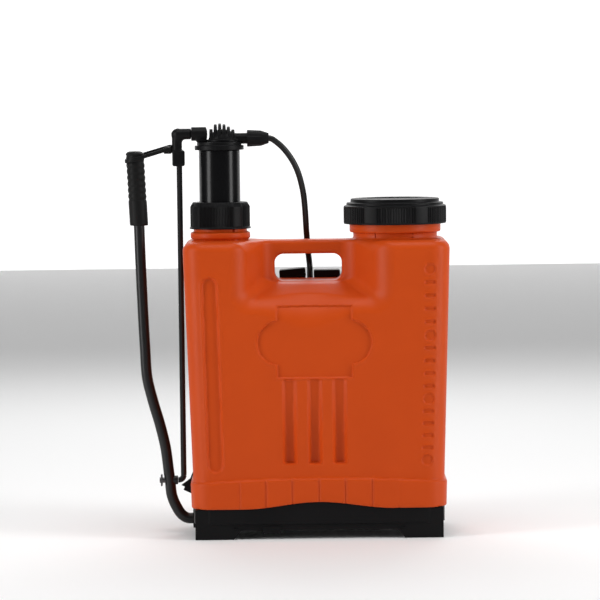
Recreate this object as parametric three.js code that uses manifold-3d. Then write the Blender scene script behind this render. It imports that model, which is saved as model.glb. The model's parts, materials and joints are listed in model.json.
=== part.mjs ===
// Backpack (knapsack) sprayer: a 20 litre tank on a base, a side lever that works a
// pump with a moving air chamber, a filler lid, shoulder straps, a hose and a lance.
// Millimetres, +Z up, the floor at Z 0. Inside this file X 0 and Y 0 are the tank's
// middle planes and its front panel faces -Y; frameShift then centres the whole.
import * as THREE from "three";
import { mergeVertices } from "three/addons/utils/BufferGeometryUtils.js";
import Module from "manifold-3d";

const wasm = await Module();
wasm.setup();

// ---- driving dimensions ------------------------------------------------------
const frameShift = new THREE.Vector3(41.5, -33, 0);
const fit = 0.3; // gap between pieces that touch
const fineSides = 20; // facets round large turned pieces
const smallSides = 12; // and round small ones
const running = 0.5; // gap round a piece that turns or slides

// tank
const tankTopWidth = 382; // across the shoulders
const tankFootWidth = tankTopWidth - 20; // just above the band
const tankDepth = 178;
const tankTop = 425;
const tankWall = 3;
const tankCorner = 28; // upright edges, in plan
const shoulderRadius = 13;
const bandTop = 84;
const bandProud = 3.5; // how far the band stands out from the tank
const bandGrooves = 7;
const bandGroovePitch = 38;

// handle opening and the pockets in front of it and behind it
const barThickness = 20;
const barDepth = 44;
const openingHeight = 39;
const openingWidth = 97;
const openingX = -11.5;
const openingCorner = 13;
const pocketInnerMargin = 12; // the opening's edge to the pocket's inner edge
const pocketSplay = 36; // how much wider each side is at the tank's face
const pocketDrop = 28; // fall of the front slope

// base
const baseHeight = 44;
const baseInset = 4.5; // base wall behind the band's face
const baseWall = 3.5;
const archHeight = 12.4;
const footLength = 55;
const footDepth = 38;
const ledgeHeight = 21;
const lipRise = 9; // the band's lower edge lifts by this in the middle
const lipHalfWidth = 107;

// filler
const fillerInset = 76.3; // from the tank's right side to the filler's axis
const fillerBore = 57;
const fillerThread = 62;
const fillerBead = 65.8;
const lidRadius = 74.35;
const lidSkirt = 25.8;
const lidRise = 10.5; // the steps above the skirt
const basketDepth = 86;

// pump
const pumpInset = 53; // from the tank's left side to the pump's axis
const chamberRadius = 29.65;
const chamberWall = 2.3;
const cylinderWall = 2;
const cylinderFoot = 87;
const chamberFoot = 196;
const nutRadius = 43.1;
const nutHeight = 38.5;
const neckWall = 3;
const flangeRadius = 35.4;
const headRise = 130.3; // the chamber's top above the tank's top
const finCount = 6;
const finPitch = 6.3;
const ballRadius = 7;

// lever and link
const axleHeight = 21;
const leverRadius = 7.8;
const leverWall = 1.3;
const axleReach = 88; // how far the axle goes into the base
const gripRadius = 13;
const gripLength = 108;
const gripRibs = 7;
const gripRibPitch = 9;
const gripOutboard = 64.4; // the grip's foot from the tank's side
const gripLean = 2.6;
const linkHeight = 77; // the lower link pivot above the floor
const rodRadius = 4.15;
const rodStandOff = 5; // the rod's axis from the tank's side
const rodBend = 7;

// hose, lance and straps
const hoseRadius = 4.4;
const hoseNutRadius = 12.15;
const coilRadius = 48.5;
const coilTurnsDeep = 2;
const coilX = 70;
const coilZ = 200;
const hoseStandOff = 9; // the coil's first turn from the tank's back
const lanceInset = 53; // from the tank's left side to the lance's axis
const lanceStandOff = 16;
const lanceRadius = 5;
const lanceFoot = 85;
const triggerLength = 125;
const lanceLength = 298;
const strapWidth = 38.6;
const padThickness = 6;
const webWidth = 30;
const webThickness = 2.6;

// ---- places that follow from them --------------------------------------------
const halfTop = tankTopWidth / 2;
const halfFoot = tankFootWidth / 2;
const back = tankDepth / 2;
const opening = {
  left: openingX - openingWidth / 2,
  right: openingX + openingWidth / 2,
  top: tankTop - barThickness,
  floor: tankTop - barThickness - openingHeight,
};
const bandHalfWidth = halfFoot + bandProud;
const bandHalfDepth = back + bandProud;
const baseHalfWidth = bandHalfWidth - baseInset;
const baseHalfDepth = bandHalfDepth - baseInset;
const fillerX = halfTop - fillerInset;
const fillerTop = tankTop + 43;
const pumpX = pumpInset - halfTop;
const cylinderBore = chamberRadius + running + 0.35;
const neckBore = cylinderBore + cylinderWall + running;
const neckThread = neckBore + neckWall;
const pumpNeckTop = tankTop + 45;
const nutFoot = tankTop + 17;
const headFoot = tankTop + headRise;
const crossX = pumpX - 40.5;
const crossZ = headFoot + 23.7;
const rodX = -(halfTop + rodStandOff);
const lanceX = lanceInset - halfTop;
const lanceY = back + lanceStandOff;

// ---- materials ---------------------------------------------------------------
function paint(color, roughness, metalness = 0) {
  return new THREE.MeshStandardMaterial({ color, roughness, metalness });
}
const look = {
  orange: paint(0xd2491f, 0.42),
  black: paint(0x141414, 0.5),
  gloss: paint(0x0b0b0b, 0.15),
  rubber: paint(0x101010, 0.8),
  webbing: paint(0x18181a, 0.9),
  tube: paint(0x0d0d0e, 0.3, 0.4),
  steel: paint(0xb4b6b8, 0.3, 1),
  ball: paint(0xc8cacc, 0.1, 1),
  pale: paint(0xe4e2da, 0.5),
};

// ---- shape helpers -----------------------------------------------------------

function point(x, y, z) {
  return new THREE.Vector3(x, y, z);
}

// A closed geometry as a solid for joining and cutting, turned right side out.
function solid(geometry) {
  const bare = new THREE.BufferGeometry();
  bare.setAttribute("position", geometry.getAttribute("position"));
  bare.setIndex(geometry.index);
  const merged = mergeVertices(bare, 1e-3);
  const at = (i) => new THREE.Vector3().fromBufferAttribute(merged.attributes.position, i);
  const triangles = [];
  let volume = 0;
  for (let i = 0; i < merged.index.count; i += 3) {
    const [a, b, c] = merged.index.array.subarray(i, i + 3);
    if (a === b || b === c || c === a) continue;
    triangles.push([a, b, c]);
    volume += at(a).dot(at(b).cross(at(c)));
  }
  if (volume < 0) triangles.forEach((triangle) => triangle.reverse());
  return new wasm.Manifold(
    new wasm.Mesh({
      numProp: 3,
      vertProperties: merged.attributes.position.array,
      triVerts: new Uint32Array(triangles.flat()),
    }),
  );
}

function joined(bodies) {
  return bodies.reduce((sum, body) => sum.add(body));
}

function cut(body, cutters) {
  return cutters.reduce((left, cutter) => left.subtract(cutter), body);
}

function box(x0, x1, y0, y1, z0, z1) {
  const geometry = new THREE.BoxGeometry(x1 - x0, y1 - y0, z1 - z0);
  geometry.translate((x0 + x1) / 2, (y0 + y1) / 2, (z0 + z1) / 2);
  return solid(geometry);
}

// A solid turned about Z; the profile's points are [radius, height].
function turned(profile, sides = fineSides, x = 0, y = 0) {
  const points = [...profile, profile[0]].map(([r, z]) => new THREE.Vector2(r, z));
  const geometry = new THREE.LatheGeometry(points, sides).rotateX(Math.PI / 2);
  return solid(geometry.translate(x, y, 0));
}

// A round bar between two points, with a cone's second radius if it has one.
function bar(from, to, radius, sides = smallSides, endRadius = radius) {
  const along = to.clone().sub(from);
  const geometry = new THREE.CylinderGeometry(endRadius, radius, along.length(), sides);
  const turn = new THREE.Quaternion();
  turn.setFromUnitVectors(point(0, 1, 0), along.clone().normalize());
  geometry.applyQuaternion(turn);
  const middle = from.clone().add(to).multiplyScalar(0.5);
  return solid(geometry.translate(middle.x, middle.y, middle.z));
}

function extruded(shape, depth, curveSegments) {
  const options = { depth, curveSegments, bevelEnabled: false };
  return new THREE.ExtrudeGeometry(shape, options);
}

// A shape drawn in plan, from one height to another.
function plate(shape, z0, z1, curveSegments = 8) {
  return solid(extruded(shape, z1 - z0, curveSegments).translate(0, 0, z0));
}

// A shape drawn as seen from the front (X across, Z up), from y0 to y1.
function slab(shape, y0, y1, curveSegments = 8) {
  const geometry = extruded(shape, y1 - y0, curveSegments).rotateX(Math.PI / 2);
  return solid(geometry.translate(0, y1, 0));
}

// A shape drawn as seen from the side (Y across, Z up), from x0 to x1.
function fin(shape, x0, x1, curveSegments = 8) {
  const turn = new THREE.Matrix4();
  turn.makeBasis(point(0, 1, 0), point(0, 0, 1), point(1, 0, 0));
  const geometry = extruded(shape, x1 - x0, curveSegments).applyMatrix4(turn);
  return solid(geometry.translate(x0, 0, 0));
}

function polygon(corners) {
  return new THREE.Shape(corners.map(([x, y]) => new THREE.Vector2(x, y)));
}

// A round plug along Z, between two heights.
function plug(radius, z0, z1, sides, x = 0, y = 0) {
  return turned([[0, z0], [radius, z0], [radius, z1], [0, z1]], sides, x, y);
}

// A round bar along X on the middle plane, at one height.
function crossBar(x0, x1, z, radius, sides) {
  return bar(point(x0, 0, z), point(x1, 0, z), radius, sides);
}

// The outline round two circles on the line y, a large one and a smaller or equal one.
function teardrop(x0, radius0, x1, radius1, y = 0) {
  const away = Math.sign(x1 - x0);
  const lean = Math.asin((radius0 - radius1) / Math.abs(x1 - x0));
  const side = Math.PI / 2 - lean;
  const start = away > 0 ? 0 : Math.PI;
  const shape = new THREE.Shape();
  shape.absarc(x0, y, radius0, start + side, start - side + 2 * Math.PI, false);
  shape.absarc(x1, y, radius1, start - side, start + side, false);
  return shape;
}

function roundedRectangle(x0, x1, z0, z1, radius) {
  const shape = new THREE.Shape();
  shape.absarc(x1 - radius, z0 + radius, radius, -Math.PI / 2, 0);
  shape.absarc(x1 - radius, z1 - radius, radius, 0, Math.PI / 2);
  shape.absarc(x0 + radius, z1 - radius, radius, Math.PI / 2, Math.PI);
  shape.absarc(x0 + radius, z0 + radius, radius, Math.PI, 1.5 * Math.PI);
  return shape;
}

// A skin over rings with equal numbers of points, closed by a flat end at each side.
function loft(rings) {
  const count = rings[0].length;
  const index = [];
  for (let r = 0; r + 1 < rings.length; r += 1) {
    for (let i = 0; i < count; i += 1) {
      const a = r * count + i;
      const b = r * count + ((i + 1) % count);
      index.push(a, b, b + count, a, b + count, a + count);
    }
  }
  const last = (rings.length - 1) * count;
  for (let i = 1; i + 1 < count; i += 1) {
    index.push(0, i + 1, i, last, last + i, last + i + 1);
  }
  const geometry = new THREE.BufferGeometry().setFromPoints(rings.flat());
  return solid(geometry.setIndex(index));
}

// A level ring of a rounded rectangle.
function ring(halfX, halfY, radius, z, steps = 3) {
  const points = [];
  const corners = [[1, -1], [1, 1], [-1, 1], [-1, -1]];
  corners.forEach(([sx, sy], corner) => {
    for (let i = 0; i <= steps; i += 1) {
      const angle = ((corner - 1 + i / steps) * Math.PI) / 2;
      const x = sx * (halfX - radius) + radius * Math.cos(angle);
      const y = sy * (halfY - radius) + radius * Math.sin(angle);
      points.push(point(x, y, z));
    }
  });
  return points;
}

// A round tube along a smooth line through the points.
function tube(points, radius, steps, sides = 12, bore = 0) {
  const section = new THREE.Shape().absarc(0, 0, radius, 0, 2 * Math.PI);
  if (bore) section.holes.push(new THREE.Path().absarc(0, 0, bore, 0, 2 * Math.PI, true));
  const extrudePath = new THREE.CatmullRomCurve3(points, false, "centripetal");
  const options = { steps, extrudePath, curveSegments: sides / 2 };
  return solid(new THREE.ExtrudeGeometry(section, options));
}

// The frame of a flat strip on its line: along it, across it and out of its face.
function stripFrame(line, t) {
  const along = line.getTangentAt(t);
  const across = point(1, 0, 0).addScaledVector(along, -along.x).normalize();
  const out = new THREE.Vector3().crossVectors(along, across);
  return { at: line.getPointAt(t), along, across, out };
}

// A flat strip along a line, between two shares of its length.
function strip(line, t0, t1, width, thickness, steps) {
  const rings = [];
  for (let i = 0; i <= steps; i += 1) {
    const { at, across, out } = stripFrame(line, t0 + ((t1 - t0) * i) / steps);
    const corners = [[-1, -1], [1, -1], [1, 1], [-1, 1]];
    rings.push(
      corners.map(([u, v]) =>
        at
          .clone()
          .addScaledVector(across, (u * width) / 2)
          .addScaledVector(out, (v * thickness) / 2),
      ),
    );
  }
  return loft(rings);
}

// A round outline with flat, slightly proud finger pads.
function paddedCircle(radius, pads, padAngle, firstPad) {
  const shape = new THREE.Shape();
  const step = (2 * Math.PI) / pads;
  for (let i = 0; i < pads; i += 1) {
    const middle = firstPad + i * step;
    const corner = radius / Math.cos(padAngle / 2);
    const padEnd = middle + padAngle / 2;
    const padStart = middle - padAngle / 2;
    if (i === 0) shape.moveTo(corner * Math.cos(padStart), corner * Math.sin(padStart));
    else shape.lineTo(corner * Math.cos(padStart), corner * Math.sin(padStart));
    shape.lineTo(corner * Math.cos(padEnd), corner * Math.sin(padEnd));
    shape.absarc(0, 0, radius - 1, padEnd, padStart + step);
  }
  return shape;
}

const whole = new THREE.Group();

function groupAt(x, y, z) {
  const group = new THREE.Group();
  group.position.set(x, y, z);
  whole.add(group);
  return group;
}

function add(group, name, body, material) {
  const { vertProperties, triVerts } = body.getMesh();
  const indexed = new THREE.BufferGeometry();
  indexed.setAttribute("position", new THREE.BufferAttribute(vertProperties, 3));
  indexed.setIndex(new THREE.BufferAttribute(triVerts, 1));
  const geometry = indexed.toNonIndexed();
  geometry.computeVertexNormals();
  const mesh = new THREE.Mesh(geometry, material);
  mesh.name = name;
  group.add(mesh);
  return mesh;
}

// ---- tank --------------------------------------------------------------------
// Half the tank's width at a height, less the wall where the inside is meant.
function halfWidthAt(z) {
  const share = (z - bandTop) / (tankTop - shoulderRadius - bandTop);
  return halfFoot + (halfTop - halfFoot) * Math.max(0, share);
}

// The tank's plain body, or its inside when it is shrunk by a wall.
function tankBody(shrink) {
  const foot = baseHeight + fit + shrink;
  const radius = tankCorner - shrink;
  const level = (z, inset) =>
    ring(halfWidthAt(z) - shrink - inset, back - shrink - inset, radius - inset, z);
  const shoulder = [0.35, 0.7, 1].map((share) => {
    const angle = (share * Math.PI) / 2;
    const inner = shoulderRadius - shrink;
    const z = tankTop - shoulderRadius + inner * Math.sin(angle);
    return level(z, inner * (1 - Math.cos(angle)));
  });
  const lower = shrink ? [level(foot, 5), level(bandTop - 24, 5)] : [level(foot, 0)];
  return loft([...lower, level(bandTop - 18, 0), level(tankTop - shoulderRadius, 0), ...shoulder]);
}

// A pocket in the tank's top: its sides splay outwards to the tank's face.
function pocket(face, drop, grow) {
  const left = opening.left - pocketInnerMargin - grow;
  const right = opening.right + pocketInnerMargin + grow;
  const inner = Math.sign(face) * (barDepth / 2 - grow);
  const past = face * 1.05;
  const splay = (pocketSplay * (Math.abs(past) - Math.abs(inner))) / (back - barDepth / 2);
  const fall = (drop * (Math.abs(past) - Math.abs(inner))) / (back - barDepth / 2);
  const floor = opening.floor - grow;
  const top = tankTop + 2 * shoulderRadius;
  return loft([
    [
      point(left, inner, floor),
      point(right, inner, floor),
      point(right, inner, top),
      point(left, inner, top),
    ],
    [
      point(left - splay, past, floor - fall),
      point(right + splay, past, floor - fall),
      point(right + splay, past, top),
      point(left - splay, past, top),
    ],
  ]);
}

// The hand opening through the bar.
function handOpening(grow) {
  const { left, right, top, floor } = opening;
  const shape = roundedRectangle(
    left - grow,
    right + grow,
    floor - grow,
    top + grow,
    openingCorner + grow,
  );
  const square = box(
    left - grow,
    right + grow,
    -barDepth,
    barDepth,
    floor - grow,
    floor + openingCorner + grow,
  );
  return slab(shape, -barDepth, barDepth, 4).add(square);
}

// Three upright channels in the front panel that deepen towards their feet.
const channel = { xs: [-40.8, -4.6, 30.8], half: 10.7, foot: 109, top: 229.5 };
function channels(grow) {
  return channel.xs.map((x) => {
    const section = (z, depth) => [
      point(x - channel.half - grow, -back * 1.05, z),
      point(x + channel.half + grow, -back * 1.05, z),
      point(x + channel.half + grow, -back, z),
      point(x + channel.half / 3 + grow, -back + depth + grow, z),
      point(x - channel.half / 3 - grow, -back + depth + grow, z),
      point(x - channel.half - grow, -back, z),
    ];
    return loft([section(channel.foot - grow, 7), section(channel.top + grow, 2)]);
  });
}

// The long groove up the left of the front panel.
const groove = { x: -150, half: 10.5, foot: 97, top: 375, depth: 3.5 };
function sideGroove(grow) {
  const { x, half, foot, top, depth } = groove;
  const outline = roundedRectangle(x - half, x + half, foot, top, half - 0.01);
  const wider = roundedRectangle(
    x - half - grow,
    x + half + grow,
    foot - grow,
    top + grow,
    half + grow - 0.01,
  );
  return slab(grow ? wider : outline, -back * 1.05, -back + depth + grow, 4);
}

// The proud band round the foot, lifted in the middle of its front edge.
function band() {
  const edge = 3;
  const low = baseHeight + fit;
  const level = (z, inset) =>
    ring(bandHalfWidth - inset, bandHalfDepth - inset, tankCorner, z);
  return loft([level(low, 0), level(bandTop - edge, 0), level(bandTop, bandProud)]);
}

// The arched notch under the band's front edge, and the base's lip that fills it.
function lipOutline(rise, half, foot) {
  const corners = [[half, foot]];
  for (let i = 8; i >= -8; i -= 1) {
    const x = (half * i) / 8;
    corners.push([x, baseHeight + (rise * (1 + Math.cos((Math.PI * x) / half))) / 2]);
  }
  corners.push([-half, foot]);
  return polygon(corners);
}

function bandCuts() {
  const cuts = [];
  for (let i = 0; i < bandGrooves; i += 1) {
    const x = (i - (bandGrooves - 1) / 2) * bandGroovePitch;
    cuts.push(box(x - 1.2, x + 1.2, -bandHalfDepth - 1, -bandHalfDepth + 1.5, 0, bandTop + 1));
  }
  const behind = -baseHalfDepth + 2.5 + fit;
  cuts.push(slab(lipOutline(lipRise + fit, lipHalfWidth, baseHeight - 1), -bandHalfDepth - 1, behind));
  return cuts;
}

const screwPlaces = [[-100, -58], [100, -58], [-100, 58], [100, 58]];
const boss = { radius: 7, rise: 14, bore: 2.6 };

function fillerNeck(outside) {
  const outer = [
    [0, tankTop - 20],
    [60, tankTop - 20],
    [60, tankTop + 9],
    [fillerBead, tankTop + 10],
    [fillerBead, tankTop + 21],
    [fillerThread, tankTop + 21.5],
    [fillerThread, fillerTop],
    [0, fillerTop],
  ];
  if (!outside) return plug(fillerBore, tankTop - 22, fillerTop + 1, fineSides, fillerX);
  return turned(outer, fineSides, fillerX, 0);
}

function pumpNeck(outside) {
  const outer = [
    [0, tankTop - 20],
    [nutRadius - 2, tankTop - 20],
    [nutRadius - 1.5, tankTop + 2],
    [nutRadius, tankTop + 5],
    [nutRadius - 1.5, tankTop + 11],
    [neckThread + 0.5, tankTop + 12],
    [neckThread, nutFoot],
    [neckThread, pumpNeckTop],
    [0, pumpNeckTop],
  ];
  if (!outside) return plug(neckBore, tankTop - 22, pumpNeckTop + 1, fineSides, pumpX);
  return turned(outer, fineSides, pumpX, 0);
}

function tankShell() {
  const outside = joined([tankBody(0), band()]);
  const hollows = [pocket(-back, pocketDrop, 0), pocket(back, 0, 0), handOpening(0)];
  const walls = [
    pocket(-back, pocketDrop, tankWall),
    pocket(back, 0, tankWall),
    handOpening(tankWall),
    ...channels(tankWall),
    sideGroove(tankWall),
  ];
  const bosses = screwPlaces.map(([x, y]) =>
    plug(boss.radius, baseHeight + fit, baseHeight + boss.rise + 3, 16, x, y),
  );
  const bores = screwPlaces.map(([x, y]) =>
    plug(boss.bore, 0, baseHeight + boss.rise, 12, x, y),
  );
  const inside = cut(tankBody(tankWall), [...walls, ...bosses]);
  const shell = cut(outside, hollows).add(fillerNeck(true)).add(pumpNeck(true));
  return cut(shell, [
    inside,
    fillerNeck(false),
    pumpNeck(false),
    ...channels(0),
    sideGroove(0),
    ...bandCuts(),
    ...bores,
  ]);
}

// ---- base --------------------------------------------------------------------
const axleBore = leverRadius + running;
const bushRadius = axleBore + 3;
const innerBearingX = -baseHalfWidth + axleReach - 12;
const strapStud = { x: 167, z: 30, radius: 4, reach: 17 };

function feet() {
  const posts = [];
  const hollows = [];
  for (const sx of [-1, 1]) {
    for (const sy of [-1, 1]) {
      const outerX = sx * (baseHalfWidth - 2.5);
      const innerX = outerX - sx * footLength;
      const outerY = sy * (baseHalfDepth - 1);
      const innerY = outerY - sy * footDepth;
      const outline = polygon([
        [outerX, 0],
        [innerX, 0],
        [innerX - sx * 10, archHeight],
        [innerX - sx * 10, archHeight + 2],
        [innerX, archHeight + 2],
        [innerX, baseHeight - 1],
        [outerX, baseHeight - 1],
      ]);
      posts.push(slab(outline, Math.min(outerY, innerY), Math.max(outerY, innerY)));
      const xs = [outerX - sx * 4, innerX + sx * 4].sort((a, b) => a - b);
      const ys = [outerY - sy * 4, innerY + sy * 4].sort((a, b) => a - b);
      hollows.push(box(xs[0], xs[1], ys[0], ys[1], 4, baseHeight + 1));
    }
  }
  return { posts, hollows };
}

function baseFrame() {
  const { posts, hollows } = feet();
  const wallRing = (z, inset) => ring(baseHalfWidth - inset, baseHalfDepth - inset, tankCorner - 4, z);
  const walls = loft([
    wallRing(archHeight, 2.5),
    wallRing(ledgeHeight, 2.5),
    wallRing(ledgeHeight + 0.8, 0),
    wallRing(baseHeight, 0),
  ]);
  const inside = loft([
    wallRing(archHeight - 1, baseWall + 2.5),
    wallRing(baseHeight - baseWall, baseWall + 2.5),
  ]);
  const lip = slab(
    lipOutline(lipRise, lipHalfWidth - 2, baseHeight - 4),
    -baseHalfDepth,
    -baseHalfDepth + 2.5,
  );
  const tab = box(-81, -55, -baseHalfDepth + 1, -baseHalfDepth + 8, 9, archHeight + 6);
  const rib = box(innerBearingX - 3, innerBearingX + 3, -24, 24, archHeight, baseHeight - 1);
  const bossFoot = axleHeight + bushRadius + 3.7;
  const bossOnWall = box(-baseHalfWidth - 3, -baseHalfWidth + 1, -9, 9, bossFoot, 43);
  const studs = [-1, 1].map((side) => {
    const x = side * strapStud.x;
    const studEnd = point(x, baseHalfDepth + strapStud.reach, strapStud.z);
    return joined([
      bar(point(x, baseHalfDepth - 2, strapStud.z), studEnd, strapStud.radius, 12),
      bar(point(x, studEnd.y - 3, strapStud.z), studEnd, strapStud.radius + 3, 12),
    ]);
  });
  const axleEnd = innerBearingX + 4;
  const axle = crossBar(-baseHalfWidth - 5, axleEnd, axleHeight, bushRadius + fit, smallSides);
  const screwHoles = screwPlaces.map(([x, y]) =>
    plug(boss.bore + 0.4, archHeight, baseHeight + 1, 12, x, y),
  );
  const frame = joined([cut(walls, [inside]), ...posts, lip, tab, rib, bossOnWall, ...studs]);
  return cut(frame, [...hollows, axle, ...screwHoles]);
}

function bush(x0, x1, flangeX0, flangeX1) {
  const barrel = crossBar(x0, x1, axleHeight, bushRadius, smallSides);
  const flange = crossBar(flangeX0, flangeX1, axleHeight, bushRadius + 3, smallSides);
  const bore = crossBar(x0 - 9, x1 + 9, axleHeight, axleBore, smallSides);
  return cut(barrel.add(flange), [bore]);
}

function makeBase() {
  const group = groupAt(0, 0, 0);
  add(group, "tank_shell", tankShell(), look.orange);
  add(group, "base_frame", baseFrame(), look.black);
  const wallX = -baseHalfWidth;
  add(group, "axle_bush_outer", bush(wallX - 2.8, wallX + 8, wallX - 2.8, wallX - fit), look.black);
  const innerX = innerBearingX;
  add(group, "axle_bush_inner", bush(innerX - 6, innerX + 6, innerX + 3 + fit, innerX + 6), look.black);
  screwPlaces.forEach(([x, y], i) => {
    const head = baseHeight - baseWall - fit;
    const profile = [
      [0, head - 3],
      [4.5, head - 3],
      [4.5, head],
      [boss.bore - fit, head],
      [boss.bore - fit, baseHeight + boss.rise - 2],
      [0, baseHeight + boss.rise - 2],
    ];
    add(groupAt(x, y, 0), "base_screw_" + (i + 1), turned(profile, 12), look.steel);
  });
}

// ---- filler ------------------------------------------------------------------
function makeFiller() {
  const group = groupAt(fillerX, 0, 0);
  const rim = fillerTop + fit;
  const basketWall = fillerBore - 1;
  const basket = turned(
    [
      [0, rim - basketDepth],
      [basketWall - 6, rim - basketDepth],
      [basketWall - 1, rim - 6],
      [basketWall, rim],
      [fillerThread - 1, rim],
      [fillerThread - 1, rim + 1.5],
      [basketWall - 1.6, rim + 1.5],
      [basketWall - 2.6, rim - 6],
      [basketWall - 7.6, rim - basketDepth + 1.6],
      [0, rim - basketDepth + 1.6],
    ],
    fineSides,
  );
  add(group, "strainer_basket", basket, look.black);
  const gasketFoot = rim + 1.5 + fit;
  const seal = turned(
    [
      [fillerBore, gasketFoot],
      [fillerThread - 1, gasketFoot],
      [fillerThread - 1, gasketFoot + 2],
      [fillerBore, gasketFoot + 2],
    ],
    fineSides,
  );
  add(group, "lid_gasket", seal, look.rubber);
  const roof = gasketFoot + 2 + fit;
  const skirtFoot = tankTop + 21.7;
  const skirtTop = skirtFoot + lidSkirt;
  const lidTop = skirtTop + lidRise;
  const skirt = plate(paddedCircle(lidRadius, 6, 0.26, Math.PI / 6), skirtFoot, skirtTop, 4);
  const steps = turned(
    [
      [0, roof - 4],
      [68, roof - 4],
      [70, skirtTop],
      [70, skirtTop + 4.5],
      [65.5, skirtTop + 5.5],
      [64, lidTop],
      [60, lidTop],
      [57, lidTop - 4.5],
      [0, lidTop - 6],
    ],
    fineSides,
  );
  const hollow = turned(
    [
      [0, skirtFoot - 1],
      [fillerBead + 1.2, skirtFoot - 1],
      [fillerBead + 1.2, roof],
      [0, roof],
    ],
    fineSides,
  );
  const ventHole = bar(point(0, 0, roof - 9), point(0, 0, lidTop + 1), 4, smallSides);
  add(group, "filler_lid", cut(skirt.add(steps), [hollow, ventHole]), look.black);
  const vent = turned(
    [
      [0, roof - 5],
      [9, roof - 5],
      [9, roof - fit],
      [4 - fit, roof - fit],
      [4 - fit, lidTop - 5.5],
      [0, lidTop - 5.5],
    ],
    smallSides,
  );
  add(group, "breather_valve", vent, look.rubber);
}

// ---- pump --------------------------------------------------------------------
function makePumpCylinder(group) {
  const bore = cylinderBore;
  const outer = bore + cylinderWall;
  const flangeFoot = pumpNeckTop + fit;
  const flange = neckThread - 0.5;
  const barrel = turned(
    [
      [bore - 5, cylinderFoot],
      [outer, cylinderFoot],
      [outer, flangeFoot],
      [flange, flangeFoot],
      [flange, flangeFoot + 3],
      [bore, flangeFoot + 3],
      [bore, cylinderFoot + 3],
      [bore - 5, cylinderFoot + 3],
    ],
    fineSides,
  );
  add(group, "pump_cylinder", barrel, look.black);
  const gasketFoot = flangeFoot + 3 + fit;
  const gasket = turned(
    [
      [bore + 0.4, gasketFoot],
      [flange, gasketFoot],
      [flange, gasketFoot + 2],
      [bore + 0.4, gasketFoot + 2],
    ],
    fineSides,
  );
  add(group, "cylinder_gasket", gasket, look.rubber);
  const seatFoot = cylinderFoot + 3 + fit;
  const port = ballRadius - 2;
  const seat = turned(
    [
      [port, seatFoot],
      [bore - fit, seatFoot],
      [bore - fit, seatFoot + 7],
      [ballRadius + 4, seatFoot + 7],
      [port, seatFoot + 4],
    ],
    fineSides,
  );
  add(group, "inlet_valve_seat", seat, look.pale);
  const ball = new THREE.SphereGeometry(ballRadius, 12, 8).rotateX(Math.PI / 2);
  const rest = seatFoot + 4 + Math.sqrt(ballRadius ** 2 - port ** 2) + fit;
  add(group, "inlet_ball", solid(ball), look.ball).position.z = rest;
  return gasketFoot + 2 + fit;
}

function makeCollarNut(group, roof) {
  const top = nutFoot + nutHeight;
  const outline = plate(paddedCircle(nutRadius, 4, 0.38, -0.91), nutFoot, top, 6);
  const bevel = turned(
    [
      [0, nutFoot],
      [nutRadius + 3, nutFoot],
      [nutRadius + 3, top - 6],
      [nutRadius - 3, top],
      [0, top],
    ],
    fineSides,
  );
  const hollow = turned(
    [
      [0, nutFoot - 1],
      [neckThread + 1, nutFoot - 1],
      [neckThread + 1, roof],
      [chamberRadius + running, roof],
      [chamberRadius + running, top + 1],
      [0, top + 1],
    ],
    fineSides,
  );
  add(group, "collar_nut", cut(outline.intersect(bevel), [hollow]), look.black);
}

function makeChamber(group) {
  const wall = turned(
    [
      [12 + fit, chamberFoot],
      [chamberRadius, chamberFoot],
      [chamberRadius, headFoot],
      [chamberRadius - chamberWall, headFoot],
      [chamberRadius - chamberWall, chamberFoot + 4],
      [12 + fit, chamberFoot + 4],
    ],
    fineSides,
  );
  add(group, "air_chamber", wall, look.gloss);
  const head = turned(
    [
      [8, headFoot - 8],
      [chamberRadius - chamberWall - fit, headFoot - 8],
      [chamberRadius - chamberWall - fit, headFoot + fit],
      [flangeRadius, headFoot + fit],
      [flangeRadius, headFoot + 6.7],
      [32, headFoot + 7.2],
      [32, headFoot + 11.7],
      [8, headFoot + 11.7],
    ],
    fineSides,
  );
  add(group, "chamber_head", head, look.black);
  const cupTop = chamberFoot - fit;
  const cup = turned(
    [
      [12 + fit, cupTop - 5],
      [chamberRadius - 5, cupTop - 5],
      [cylinderBore - 0.2, cupTop - 9],
      [cylinderBore - 0.2, cupTop - 5],
      [chamberRadius - 1, cupTop],
      [12 + fit, cupTop],
    ],
    fineSides,
  );
  add(group, "piston_cup", cup, look.rubber);
  const ball = ballRadius - 1;
  const port = ball - 2;
  const stemTop = chamberFoot + 8;
  const bolt = turned(
    [
      [port, cupTop - 10],
      [17, cupTop - 10],
      [17, cupTop - 5 - fit],
      [12, cupTop - 5 - fit],
      [12, stemTop],
      [port, stemTop],
    ],
    smallSides,
  );
  add(group, "piston_bolt", bolt, look.black);
  const sphere = new THREE.SphereGeometry(ball, 12, 8).rotateX(Math.PI / 2);
  const rest = stemTop + Math.sqrt(ball ** 2 - port ** 2) + fit;
  add(group, "outlet_ball", solid(sphere), look.ball).position.z = rest;
}

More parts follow.
